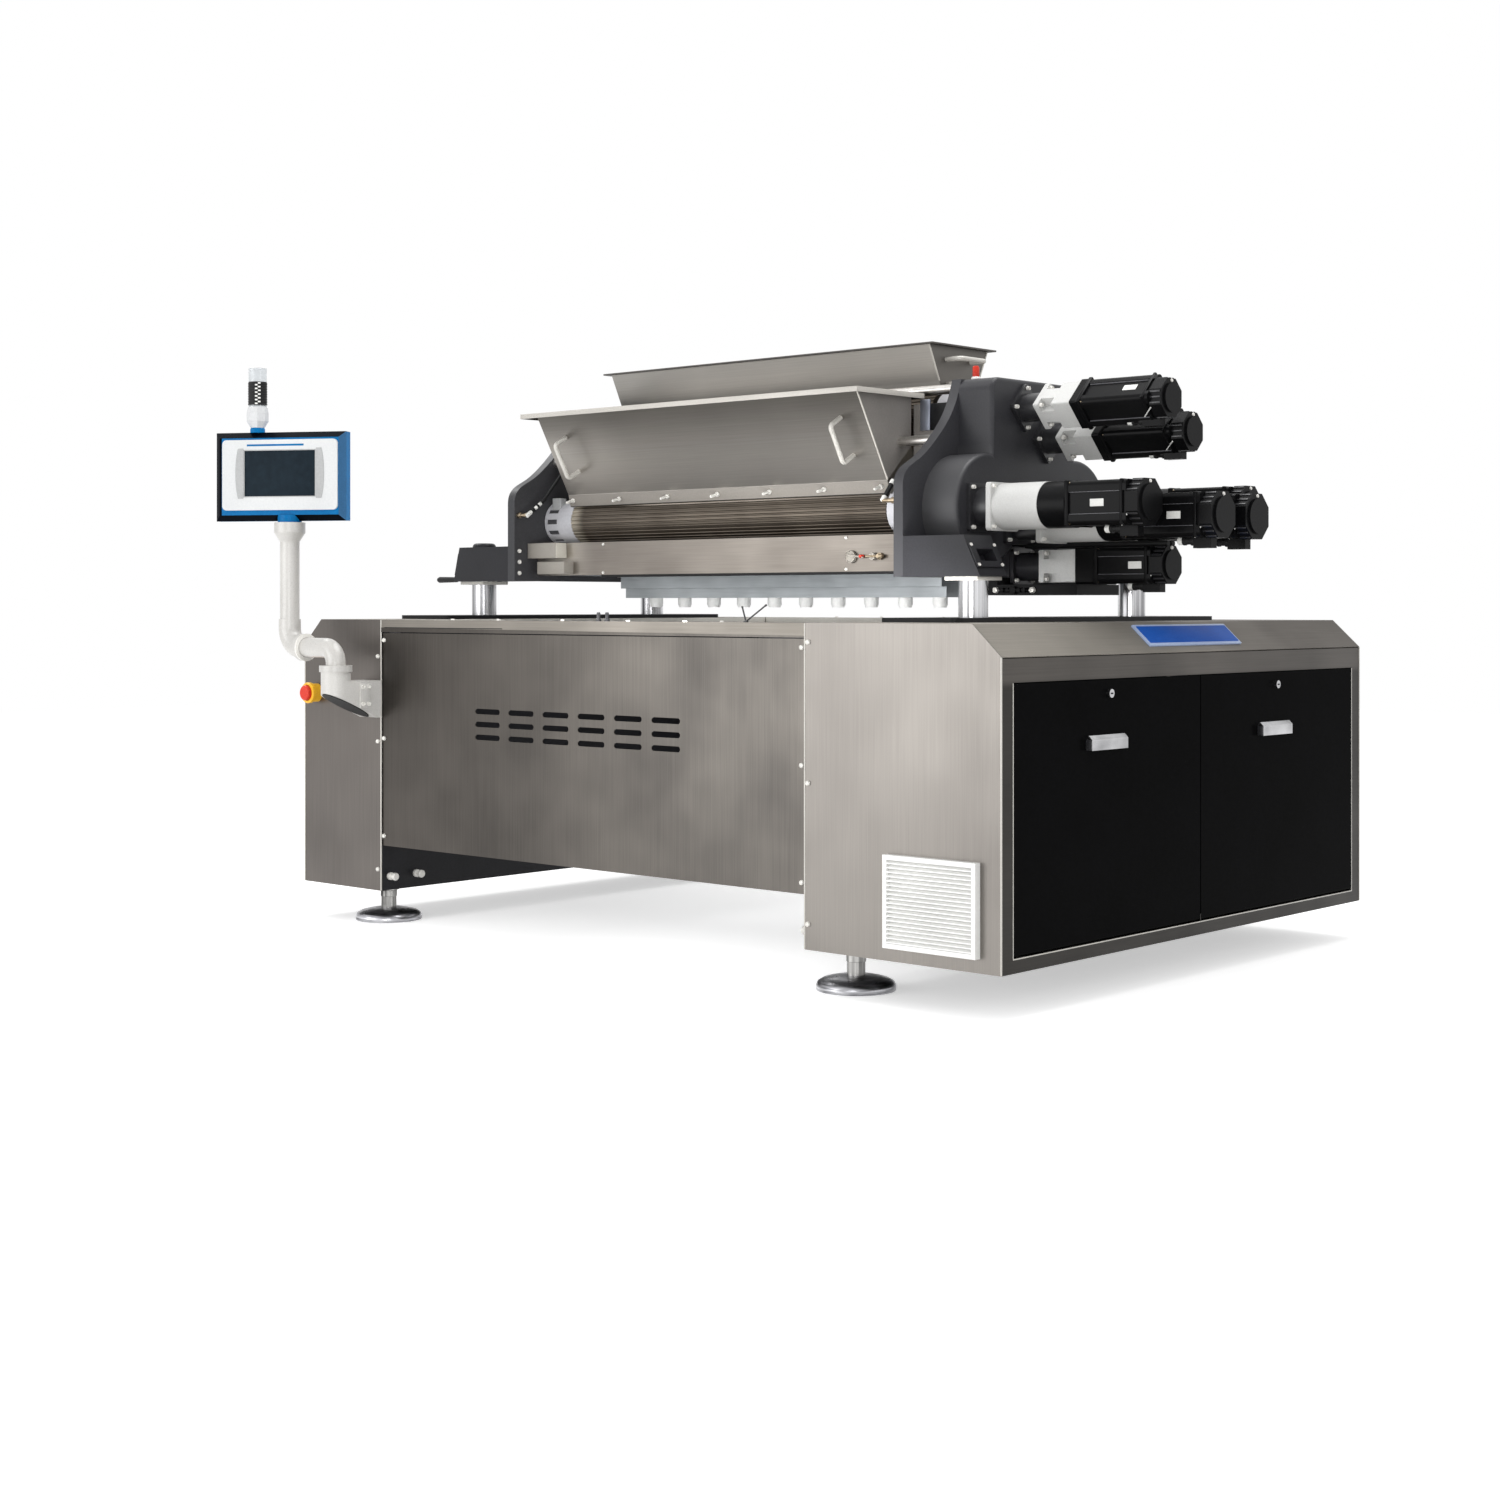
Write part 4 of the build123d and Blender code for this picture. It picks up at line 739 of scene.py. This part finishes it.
# %% Motor flanges and their bolts
flanges, bolts, dots = fresh(3)
for drive in drives:
    half = drive.motor / 2 + 2
    spin = station(drive)
    block(flanges, (drive.spacer - 1, -half, -half), (drive.spacer + 12, half, half), 3, spin)
    half -= 1
    block(flanges, (drive.end - 62, -half, -half), (drive.end - 52, half, half), 3, spin)
    for y, z in corners(drive, drive.motor / 2 - 8):
        screw(bolts, (drive.spacer + 12, y, z), RIGHT, 6, 8)
    screw(dots, (drive.end - 6, drive.y, drive.z + drive.motor * 0.46), RIGHT, 5, 3)
finished("motor_flanges", flanges, motor_black, "head")
finished("motor_bolts", bolts, brass)
finished("cap_screws", dots, zinc)

# %% [markdown]
# Each motor carries a rating plate, here blank, and a plug for its lead. The plug's round collar
# lies along the motor and ends in a pale nut, and a thin white wire joins it to the cap. Two ribs
# run along each edge of the motor, where the extruded housing was left proud, and three short ones
# cross each corner of the cap.

# %% Rating plates, plugs and ribs
labels, plugs, nuts, ribs, cap_ribs = fresh(5)
plug = drum((12, -2), (13, 2), (13, 14), (10, 17), (10, 30), (12, 31), (12, 38))
nut = drum((9, 37), (11, 39), (11, 52), (8, 55))
for drive in drives:
    half = drive.motor / 2
    spin = station(drive)
    x = (drive.spacer + drive.end) / 2 + (-18 if abs(drive.y) == 258 else 18)
    if drive.turn:
        block(labels, (x - 21, -10, half - 6.5), (x + 21, 10, half - 4), 0.8, spin)
    else:
        block(labels, (x - 21, -half + 4, -10), (x + 21, -half + 6.5, 10), 0.8, spin)
    # ribs in a paler black: painted highlight along the motor's edges
    for quarter in range(4):
        turn = spin @ about_x(90 * quarter)
        for share in (-0.74, -0.5, 0.5, 0.74):
            y = share * half
            low, high = (drive.spacer + 13, y - 1.6, half - 7), (drive.end - 63, y + 1.6, half - 2)
            block(ribs, low, high, 0.8, turn)
    # the cap has eight sides, and its flats lie a little outside the motor's sides
    flat = 0.517 * drive.motor
    for quarter in range(4):
        turn = spin @ about_x(45 + 90 * quarter)
        for share in (-0.15, 0, 0.15):
            y = share * drive.motor
            low, high = (drive.end - 41, y - 2.5, flat - 1), (drive.end - 9, y + 2.5, flat + 2.6)
            block(cap_ribs, low, high, 1, turn)
    low = drive.z - drive.motor * 0.57
    at = (drive.end - 86, drive.y, low)
    turned(plugs, plug, at, LEFT, 16)
    turned(nuts, nut, at, LEFT, 12)
    wire_end = (drive.end - 40, drive.y - half + 1, drive.z - 0.28 * drive.motor)
    link(nuts, (drive.end - 86, drive.y - 9, low + 6), wire_end, rod(1.8), 6)
finished("motor_ribs", ribs, rib_black, "head")
finished("cap_ribs", cap_ribs, adapter_black, "head")
finished("rating_plates", labels, label_white, "head")
finished("lead_plugs", plugs, black_rubber_and_shade, "head")
finished("plug_nuts", nuts, label_white, "head")

# %% [markdown]
# The slanted end of each column bracket is closed by a cover plate with a window, held by four
# screws. The plate is a grid of nine faces whose middle one is taken out, and solidify gives the
# thickness.

# %% Bracket covers
covers, bolts = fresh(2)
SLOPE_TOP, SLOPE_FOOT = 1178, 1067
for side, low, high in ((1, 1063, 1007), (-1, -1070, -1042)):
    away = Vector((side * (SLOPE_TOP - SLOPE_FOOT), 0, side * (low - high))).normalized()
    rise = Vector((-side * away.z, 0, side * away.x))
    for y in (-393.5, 393.5):
        middle = Vector(((low + high) / 2, y, (SLOPE_TOP + SLOPE_FOOT) / 2))
        stand = axes(Vector((0, side, 0)), rise, away, middle + away * 0.5)
        frame_plate(covers, (74, 36), (23, 18), 4, stand)
        for across in (-52, 52):
            for height in (-30, 30):
                screw(bolts, stand @ Vector((across, height, 4)), away, 5, 3)
finished("bracket_covers", covers, cast_black, "head")
finished("bracket_screws", bolts, zinc)

# %% [markdown]
# The front beam carries a small pressure gauge, a red cap and a brass nipple, and screws along its
# edges. All are turned parts, so each is one spun profile. At the left end a plate covers the front
# of the block on the beam, a pale one closes its end, its paleness painted light on a face in
# shade, and a second block stands under it. A dark strip along the lower edge is a painted shadow
# line.

# %% Beam fittings
screws, nipples, caps, gauge, cap, plates, seal_and_shade_strip = fresh(7)
BEAM, TAPS = -354, 1127
dial = drum((17, -1), (18, 1), (18, 9), (15, 11), (14, 8))
turned(gauge, dial, (540, BEAM, TAPS), FRONT)
knob = drum((10, -1), (11, 1), (11, 12), (8, 14))
turned(gauge, knob, (622, BEAM, TAPS), FRONT, 12)
lever = drum((4, 0), (4, 0.4), (3, 0.45), (3, 1))
link(gauge, (538, BEAM - 12, 1132), (588, BEAM - 9, 1125), lever, 10)
nipple = [(0, -1), (9, -1), (10, 1), (10, 8), (6, 9), (6, 16), (0, 17)]
turned(nipples, nipple, (646, BEAM, TAPS), FRONT, 12)
stem = drum((4, 0), (4, 0.7), (6, 0.74), (6, 0.9), (4, 1))
link(nipples, (602, BEAM - 12, TAPS), (662, BEAM - 12, TAPS), stem)
red_cap = drum((4, -1), (5, 1), (5, 12), (4, 14))
turned(caps, red_cap, (581, BEAM, TAPS + 1), FRONT, 12)
for x in (-470, 520):
    for side in BOTH:
        for z in (1181, 1092):
            screw(screws, (x, -side * BEAM, z), (0, side, 0), 5, 3)
# the pale end of the block: painted light on a face in shade
block(cap, (-640.5, -400, 1139.5), (-637.5, -354.5, 1187.5), 1)
block(plates, (-770, -401, 1140), (-640.5, -398, 1187), 1)
block(plates, (-731, -396, 1088), (-606, -353, 1128), 1.5)
# a dark strip under the beam's lower edge: painted shadow line
block(seal_and_shade_strip, (-480, -353, 1077), (771, -344, 1086), 1)
finished("block_cap", cap, fixing_pale)
finished("beam_shadow_line", seal_and_shade_strip, black_rubber_and_shade, "head")
finished("block_plates", plates, fixing_grey)
finished("beam_gauge", gauge, fixing_grey)
finished("beam_fittings", screws, zinc)
finished("beam_nipples", nipples, brass)
finished("beam_cap", caps, stop_red, "head")

# %% [markdown]
# Pale screws hold the beams to the side plates, and a red cap on a white base stands on the top of
# the right plate.

# %% Side plate fittings
screws, base, knob = fresh(3)
for side in BOTH:
    for z in (1163, 1128, 1092):
        for x, axis in ((-772, RIGHT), (-804, LEFT), (772, LEFT)):
            screw(screws, (x, side * 436, z), axis, 7, 4)
plate_top = (788, -100, 1625)
turned(base, drum((14, -1), (14, 10), (11, 14)), plate_top, UP, 16)
turned(knob, [(0, 12), (9, 12), (10, 16), (10, 40), (7, 45), (0, 46)], plate_top, UP, 16)
finished("plate_screws", screws, zinc)
finished("cap_base", base, white_plastic, "head")
finished("plate_cap", knob, stop_red, "head")

# %% [markdown]
# The white collars on the roller ends are castle rings, as on a bearing cage: a dark band inside
# the notches is painted shade, so that they read as hollows. A ring closes them, a lip closes the
# slit to the barrel, and a pale tab sits on top.

# %% Collar pockets, lips and tabs
pocket_shade, lips, tabs = fresh(3)
BORE, COLLAR = 40, 70
for end in BOTH:
    for y, z in ((258, 1258), (88, 1227), (-88, 1227), (-258, 1258)):
        # a dark band inside the notches: painted shade
        turned(pocket_shade, ring(BORE, COLLAR - 5, 713, 767), (0, y, z), (end, 0, 0), 32)
        for low, high in ((645.2, 657), (761, 769)):
            turned(lips, ring(BORE, COLLAR, low, high), (0, y, z), (end, 0, 0), 48)
    for side in BOTH:
        block(tabs, (end * 709, side * 288, 1296), (end * 748, side * 314, 1335), 2)
finished("collar_pocket_shade", pocket_shade, drive_grey, "head")
finished("collar_lips", lips, collar_white, "head")
finished("collar_tabs", tabs, pad_grey, "head")

# %% [markdown]
# A pale plate lies between each column and its bracket, and the clamp lever at the left front has a
# black grip sleeve. The sleeve is a turned part that follows the lever.

# %% Column plates and lever grip
plates, sleeve = fresh(2)
for x in (-993, 993):
    for y in (-391, 391):
        block(plates, (x - 55, y - 55, 1056.5), (x + 55, y + 55, 1066.6), 1)
finished("column_plates", plates, edge_steel)
grip = [(0, 0), (8.6, 0), (9.4, 0.5), (10, 0.92), (7, 0.99), (0, 1)]
link(sleeve, (-1128, -393, 1074), (-1224, -393, 1074), grip, 16)
finished("lever_grip", sleeve, black_rubber_and_shade, "clamp")

# %% [markdown]
# Between each hopper and the side plates a sheet apron stands on the plate and hides the ends of
# the centre rollers. Its upper corner is a black block, painted shade for the shadow there, and a
# bluish strap on it keeps the hopper from shifting.

# %% Shade blocks, aprons and straps
shade_blocks, straps, aprons = fresh(3)
APRON, APRON_FOOT, APRON_TOP, PLATE = (206, 216), 1345, 1560, 773
SHADE_EDGE, SHADE_FOOT = 712, 1484
for end in BOTH:
    for side in BOTH:
        near, far = (side * y for y in APRON)
        # a black block for the shadow in the upper corner: painted shade
        block(shade_blocks, (end * SHADE_EDGE, near, SHADE_FOOT), (end * PLATE, far, APRON_TOP), 1)
        block(aprons, (end * SHADE_EDGE, near, APRON_FOOT), (end * PLATE, far, SHADE_FOOT), 1)
        block(aprons, (end * 654, near, APRON_FOOT), (end * SHADE_EDGE, far, APRON_TOP), 1)
        block(straps, (end * 682, side * 215.5, SHADE_FOOT), (end * 716, side * 222, 1572), 1)
finished("roller_shade_blocks", shade_blocks, deck_black, "head")
finished("hopper_aprons", aprons, end_grey)
finished("hopper_straps", straps, strap_steel)

# %% [markdown]
# An air line reaches the head through the left plate: a brass stub, a pale elbow with banded
# joints, and a black hose that ends on the hopper's pin. A short link with pale ends holds the
# hopper on the right. Each length is a turned part between two places.

# %% Air line on the left plate
stubs, tubes, hoses = fresh(3)
stub = drum((9, 0), (9, 0.3), (6, 0.34), (6, 0.75), (8, 0.8), (8, 1))
link(stubs, (-774, -440, 1277), (-727, -440, 1277), stub)
elbow = [(0, 0), (7, 0.03), (7, 0.25), (5, 0.3), (5, 0.5), (6, 0.52), (6, 0.8), (5, 0.85), (0, 1)]
foot, top = Vector((-727, -447, 1272)), Vector((-727, -366, 1328))
link(tubes, foot, top, elbow)
hose = drum((6, 0), (6, 0.08), (5, 0.1), (5, 0.92), (6, 0.94), (6, 1))
link(hoses, (-727, -374, 1322), (-705, -284, 1444), hose, 10)
for start, stop in ((0.28, 0.42), (0.56, 0.64), (0.78, 0.88)):
    link(hoses, foot.lerp(top, start), foot.lerp(top, stop), rod(7))
foot, top = Vector((727, -448, 1276)), Vector((727, -400, 1334))
right_stub = drum((9, 0), (9, 0.3), (6, 0.34), (6, 1))
link(stubs, (774, -446, 1277), (727, -446, 1277), right_stub)
holder = [(0, 0), (8, 0.02), (8, 0.2), (4, 0.25), (4, 0.8), (8, 0.85), (8, 1), (0, 1)]
link(tubes, foot, top, holder)
link(hoses, foot.lerp(top, 0.25), foot.lerp(top, 0.8), rod(7))
finished("air_stub", stubs, brass)
finished("air_tube", tubes, label_white, "head")
finished("air_hose", hoses, black_rubber_and_shade, "head")

# %% [markdown]
# A row of fixings holds the shelf under the lowest drive: two bright bolts at the ends and ribbed
# black knobs between them, all on its front and back edge. A rubber pad on it carries the gearhead,
# and two black leads lie along the top of the drive.

# %% Shelf fixings
bolts, knobs, pad = fresh(3)
SHELF_EDGE, SHELF_MIDDLE = 105, 1032
for side in BOTH:
    for x in (863, 987):
        screw(bolts, (x, side * SHELF_EDGE, SHELF_MIDDLE), (0, side, 0), 9, 8)
    for x, size in ((888, 7), (906, 7), (925, 11), (944, 7), (962, 7)):
        waist = size - 2
        knob = [(0, -1), (size, -1), (size, 3), (waist, 4), (waist, 6), (size, 7), (size, 11),
                (0, 12)]
        turned(knobs, knob, (x, side * SHELF_EDGE, SHELF_MIDDLE), (0, side, 0), 12)
block(pad, (968, -45, 1046.5), (1089, 45, 1052.7), 1)
block(pad, (1091, -48, 1046.5), (1131, 48, 1048.8), 0.6)
for y in (-14, 12):
    link(pad, (900, y, 1158), (1366, y, 1157), rod(8), 10)
finished("shelf_pad", pad, black_rubber_and_shade, "head")
finished("shelf_bolts", bolts, zinc)
finished("shelf_knobs", knobs, motor_black, "head")

# %% [markdown]
# Each door has a chromed lock whose keyway is a dark block, painted shade in the slot, and the
# chromed hood of its pull is closed at both ends by a dark cap.

# %% Keyways and pull ends
for door, lock_y, pull_y in (("front", -449, -466), ("rear", 401, 387)):
    keyway, caps = fresh(2)
    # the dark block in the keyway: painted shade
    block(keyway, (1465.8, lock_y - 5.8, 766), (1468.5, lock_y + 5.8, 770), 0.6)
    finished(door + "_lock_keyway", keyway, shade_black, door + "_lock")
    for end in BOTH:
        block(caps, (1456, pull_y + end * 81.5, 628.5), (1473, pull_y + end * 84, 655), 1)
    finished(door + "_pull_ends", caps, adapter_black, door + "_flap")

# %% [markdown]
# The foot of the operator arm is bolted to the wall bracket: a band on each cheek with four bolts.
# A dark oval lies on its slanted underside, a flat cone stretched along the slope. A bright rim
# ends the elbow above it, and a yellow collar shields the emergency stop beside it.

# %% Arm bracket bands, elbow rim and stop collar
bands, bolts, rim, collar, plug = fresh(5)
SOCKET = -924
for side in BOTH:
    cheek = SOCKET + side * 45
    block(bands, (cheek - side * 0.5, -991, 676), (cheek + side * 5, -951, 752), 1.5)
    for y in (-982, -960):
        for z in (740, 688):
            screw(bolts, (cheek + side * 5, y, z), (side, 0, 0), 7, 6, sides=6)
turned(rim, ring(31, 42.6, 15.5, 20), (-1090, -1046, 859), RIGHT, 32)
finished("elbow_rim", rim, zinc, "arm")
guard = [(25.5, -1), (28.6, -1), (33, 3), (33, 12), (31, 15), (25.5, 15), (25.5, -1)]
turned(collar, guard, (-1206, -930, 712), FRONT, 32)
finished("stop_collar", collar, stop_yellow, "base")
slope = Vector((0, -172, 78)).normalized()
under = axes(Vector(LEFT), slope, Vector(LEFT).cross(slope), (SOCKET, -1008, 684))
disc = bmesh.ops.create_cone(
    plug, cap_ends=True, segments=48, radius1=1, radius2=0.96, depth=5)["verts"]
bmesh.ops.scale(plug, vec=(44, 90, 1), verts=disc)
bmesh.ops.transform(plug, matrix=under, verts=disc)
finished("socket_dark_oval", plug, black_rubber_and_shade, "base")
finished("bracket_bands", bands, arm_grey, "base")
finished("bracket_bolts", bolts, zinc, "base")

# %% [markdown]
# A blank blue plate with a pale border is fixed to the slanted edge of the right cabinet. The
# border is a block with broken edges, and the blue field stands a little proud of it.

# %% Blank plate on the slanted edge
border, field = fresh(2)
slant = Vector((78, 0, 85)).normalized()
down = Vector((85, 0, -78)).normalized()
stand = axes(Vector((0, 1, 0)), down, slant, Vector((1411, 6, 908.3)))
block(border, (-234, -39, -0.5), (234, 39, 6), 1.5, stand)
finished("plate_border", border, plate_pale, "base")
block(field, (-226, -31, 2), (226, 31, 8), 1.5, stand)
finished("plate_field", field, plate_blue, "base")

# %% [markdown]
# The operator panel is turned towards the operator. Its case has chamfered front edges: dark
# strips on three of them are painted shade, and a slate strip on the right one is painted light. On
# the bezel there are a thin blue line, a fine grey frame round the display and a curved grip pad on
# either side of it. Each pad is an ellipse that is cut off along three lines.

# %% Operator panel: painted shade and light on the case chamfers, and bezel trim
def turned_to(degrees, at):
    """A matrix whose x runs across, y up and z to the front, turned about the upright axis."""
    turn = radians(degrees)
    return axes(Vector((cos(turn), sin(turn), 0)), UP, Vector((sin(turn), -cos(turn), 0)), at)


PANEL_TURN, PANEL_SHIFT, BEZEL = 30, -25.5, 32.6
pole = Vector((-1157, -1046, 0))
across = turned_to(PANEL_TURN, pole).col[0].to_3d()
panel = turned_to(PANEL_TURN, pole + Vector((0, 0, 1390)) + across * PANEL_SHIFT)


def case_edge(name, finish, slot, wanted):
    """Strips of painted shade and light on the chamfers: an open four-sided cone, of which the
    wanted sides are kept.
    """
    bm = bmesh.new()
    quarter = Matrix.Rotation(radians(45), 4, "Z")
    cone = bmesh.ops.create_cone(
        bm, segments=4, radius1=2 ** 0.5, radius2=2 ** 0.5, depth=18, matrix=quarter)["verts"]
    back, front = ([vert for vert in cone if vert.co.z * way > 0] for way in BOTH)
    bmesh.ops.scale(bm, vec=(216.5, 138.5, 1), verts=back)
    bmesh.ops.scale(bm, vec=(198.5, 120.5, 1), verts=front)
    spare = [face for face in bm.faces if not wanted(face.calc_center_median())]
    bmesh.ops.delete(bm, geom=spare, context="FACES")
    bmesh.ops.transform(bm, matrix=panel @ Matrix.Translation((0, 0, 16.4)), verts=bm.verts)
    bmesh.ops.solidify(bm, geom=bm.faces[:], thickness=0.8)
    if slot == "black_casting":
        # a wider dark band down the left chamfer: more painted shade
        block(bm, (-198.5, -120.5, 24.5), (-191, 120.5, 25.8), 0.3, panel)
    finished(name, bm, finish, "panel")


case_edge("case_painted_shade", shade_black, "black_casting", lambda middle: middle.x < 100)
case_edge("case_right_painted_light", panel_slate, "panel_blue", lambda middle: middle.x > 100)
line, border = fresh(2)
block(line, (-103, 94, BEZEL), (86, 100, 33.6), 0.3, panel)
finished("bezel_line", line, panel_blue, "panel")
frame_plate(border, (235, 142), (3, 3), 1, panel @ Matrix.Translation((6, 9, 32.8)))
finished("display_frame", border, pad_grey, "panel")
for name, end in (("left_grip_pad", -1), ("right_grip_pad", 1)):
    pad = bmesh.new()
    bmesh.ops.create_circle(pad, cap_ends=True, segments=72, radius=1)
    bmesh.ops.scale(pad, vec=(26, 105, 1), verts=pad.verts)
    for at, way in (((0, 0, 0), (-end, 0, 0)), ((0, 78, 0), (0, 1, 0)), ((0, -78, 0), (0, -1, 0))):
        whole = pad.verts[:] + pad.edges[:] + pad.faces[:]
        bmesh.ops.bisect_plane(pad, geom=whole, plane_co=at, plane_no=way, clear_outer=True)
    raised = bmesh.ops.extrude_face_region(pad, geom=pad.faces[:])["geom"]
    upper = [item for item in raised if isinstance(item, bmesh.types.BMVert)]
    bmesh.ops.translate(pad, vec=(0, 0, 2), verts=upper)
    place = panel @ Matrix.Translation((6 + end * 121, 9, BEZEL))
    bmesh.ops.transform(pad, matrix=place, verts=pad.verts)
    finished(name, pad, pad_grey, "panel")

# %% [markdown]
# The beacon's lamp stack shows as a dark ribbed band inside its lens, with a bright zigzag of lamp
# chips down the front. The ribs are rings on one turned profile, a little larger than the lens, and
# the clear cap is left free above them. A blue collar holds the beacon to the case.

# %% Beacon ribs, chips and collar
ribs, chips, collar = fresh(3)
beacon = pole + across * (PANEL_SHIFT - 82)
STACK, RIB_STEP = 1614, 8
profile = [(27, STACK)]
for step in range(9):
    low = STACK + step * RIB_STEP
    profile += [(29.5, low + 1), (29.5, low + 5), (28.2, low + 6), (28.2, low + RIB_STEP)]
profile += [(27, 1687)]
turned(ribs, profile, beacon, UP, 32)
finished("beacon_ribs", ribs, black_rubber_and_shade, "panel")
row = turned_to(54, beacon)
for chip in range(12):
    shift = 5 if chip % 2 else -4
    z = 1618 + chip * 5.8
    block(chips, (shift - 4, z - 2.4, 27), (shift + 4, z + 2.4, 30.4), 0.5, row)
finished("beacon_chips", chips, label_white, "panel")
holder = drum((22, 1527.5), (23, 1529), (23, 1539), (21, 1543))
turned(collar, holder, beacon, UP)
finished("beacon_collar", collar, panel_blue, "panel")

# %% [markdown]
# The floor is a plain pale sheet. It is lit like everything else, so it keeps the machine's shadow,
# and a little extra light that only the camera and reflections see brings it up to the white around
# it. The world is white to the same rays and gives a softer level to the rest.

# %% Floor and world
def seen(tree):
    """One for rays from the camera, in reflections and through clear plastic, and else zero."""
    rays = add(tree, "LightPath").outputs
    pair = {0: rays["Is Camera Ray"], 1: rays["Is Glossy Ray"]}
    direct = add(tree, "Math", pair, operation="MAXIMUM")
    return add(tree, "Math", {0: direct, 1: rays["Is Transmission Ray"]}, operation="MAXIMUM")


bm = bmesh.new()
bmesh.ops.create_grid(bm, x_segments=2, y_segments=2, size=14)
sheet = bpy.data.meshes.new("floor")
bm.to_mesh(sheet)
bm.free()
floor = bpy.data.objects.new("floor", sheet)
scene.collection.objects.link(floor)
paper, tree = blank("pale_studio_floor")
lift = add(tree, "Math", {0: seen(tree), 1: 0.5}, operation="MULTIPLY")
glow = add(tree, "Emission", {"Color": "ffffff", "Strength": lift})
matt = add(tree, "BsdfDiffuse", {"Color": "f2f2f2"})
add(tree, "OutputMaterial", {"Surface": add(tree, "AddShader", {0: matt, 1: glow})})
sheet.materials.append(paper)

world = bpy.data.worlds.new("studio")
world.use_nodes = True
scene.world = world
tree = world.node_tree
tree.nodes.clear()
level = add(tree, "MapRange", {"Value": seen(tree), "To Min": 0.7})
sky = add(tree, "Background", {"Color": "ffffff", "Strength": level})
add(tree, "OutputWorld", {"Surface": sky})
print("floor and world set")

# %% [markdown]
# Soft boxes light the machine from the front left, from above and from both sides, as in a product
# studio, and a low strip looks in under the head. A thin lamp on the rail, which reflections don't
# show, lifts the nozzles. The level is chosen so that a colour renders about as it is written.

# %% Soft boxes
def soft_box(name, at, aim, size, watts):
    """An area lamp that points at a place."""
    lamp = bpy.data.lights.new(name, "AREA")
    lamp.shape = "RECTANGLE"
    lamp.size, lamp.size_y = size
    lamp.energy = watts
    made = bpy.data.objects.new(name, lamp)
    made.location = at
    made.rotation_euler = (Vector(aim) - Vector(at)).to_track_quat("-Z", "Y").to_euler()
    scene.collection.objects.link(made)
    print(name, watts, "W")
    return made


soft_box("front_box", (-2.0, -5.2, 1.5), (0.6, -0.4, 0.9), (3.4, 2.8), 85)
soft_box("top_box", (0.8, 0.4, 5.0), (0.3, 0, 1.2), (3.5, 2.5), 120)
soft_box("right_box", (6.0, -1.2, 2.6), (0.6, 0, 1.1), (2.0, 2.0), 24)
soft_box("low_box", (2.6, -4.6, 0.98), (0, 0, 1.03), (1.6, 0.6), 34)
soft_box("left_box", (-3.6, -0.6, 4.6), (1.0, 0, 1.3), (1.4, 1.4), 70)
rail_lamp = soft_box("under_box", (0.55, -0.88, 0.985), (-0.1, 0, 1.02), (1.3, 0.04), 6)
rail_lamp.visible_camera = False
rail_lamp.visible_glossy = False
scene.view_settings.view_transform = "Standard"
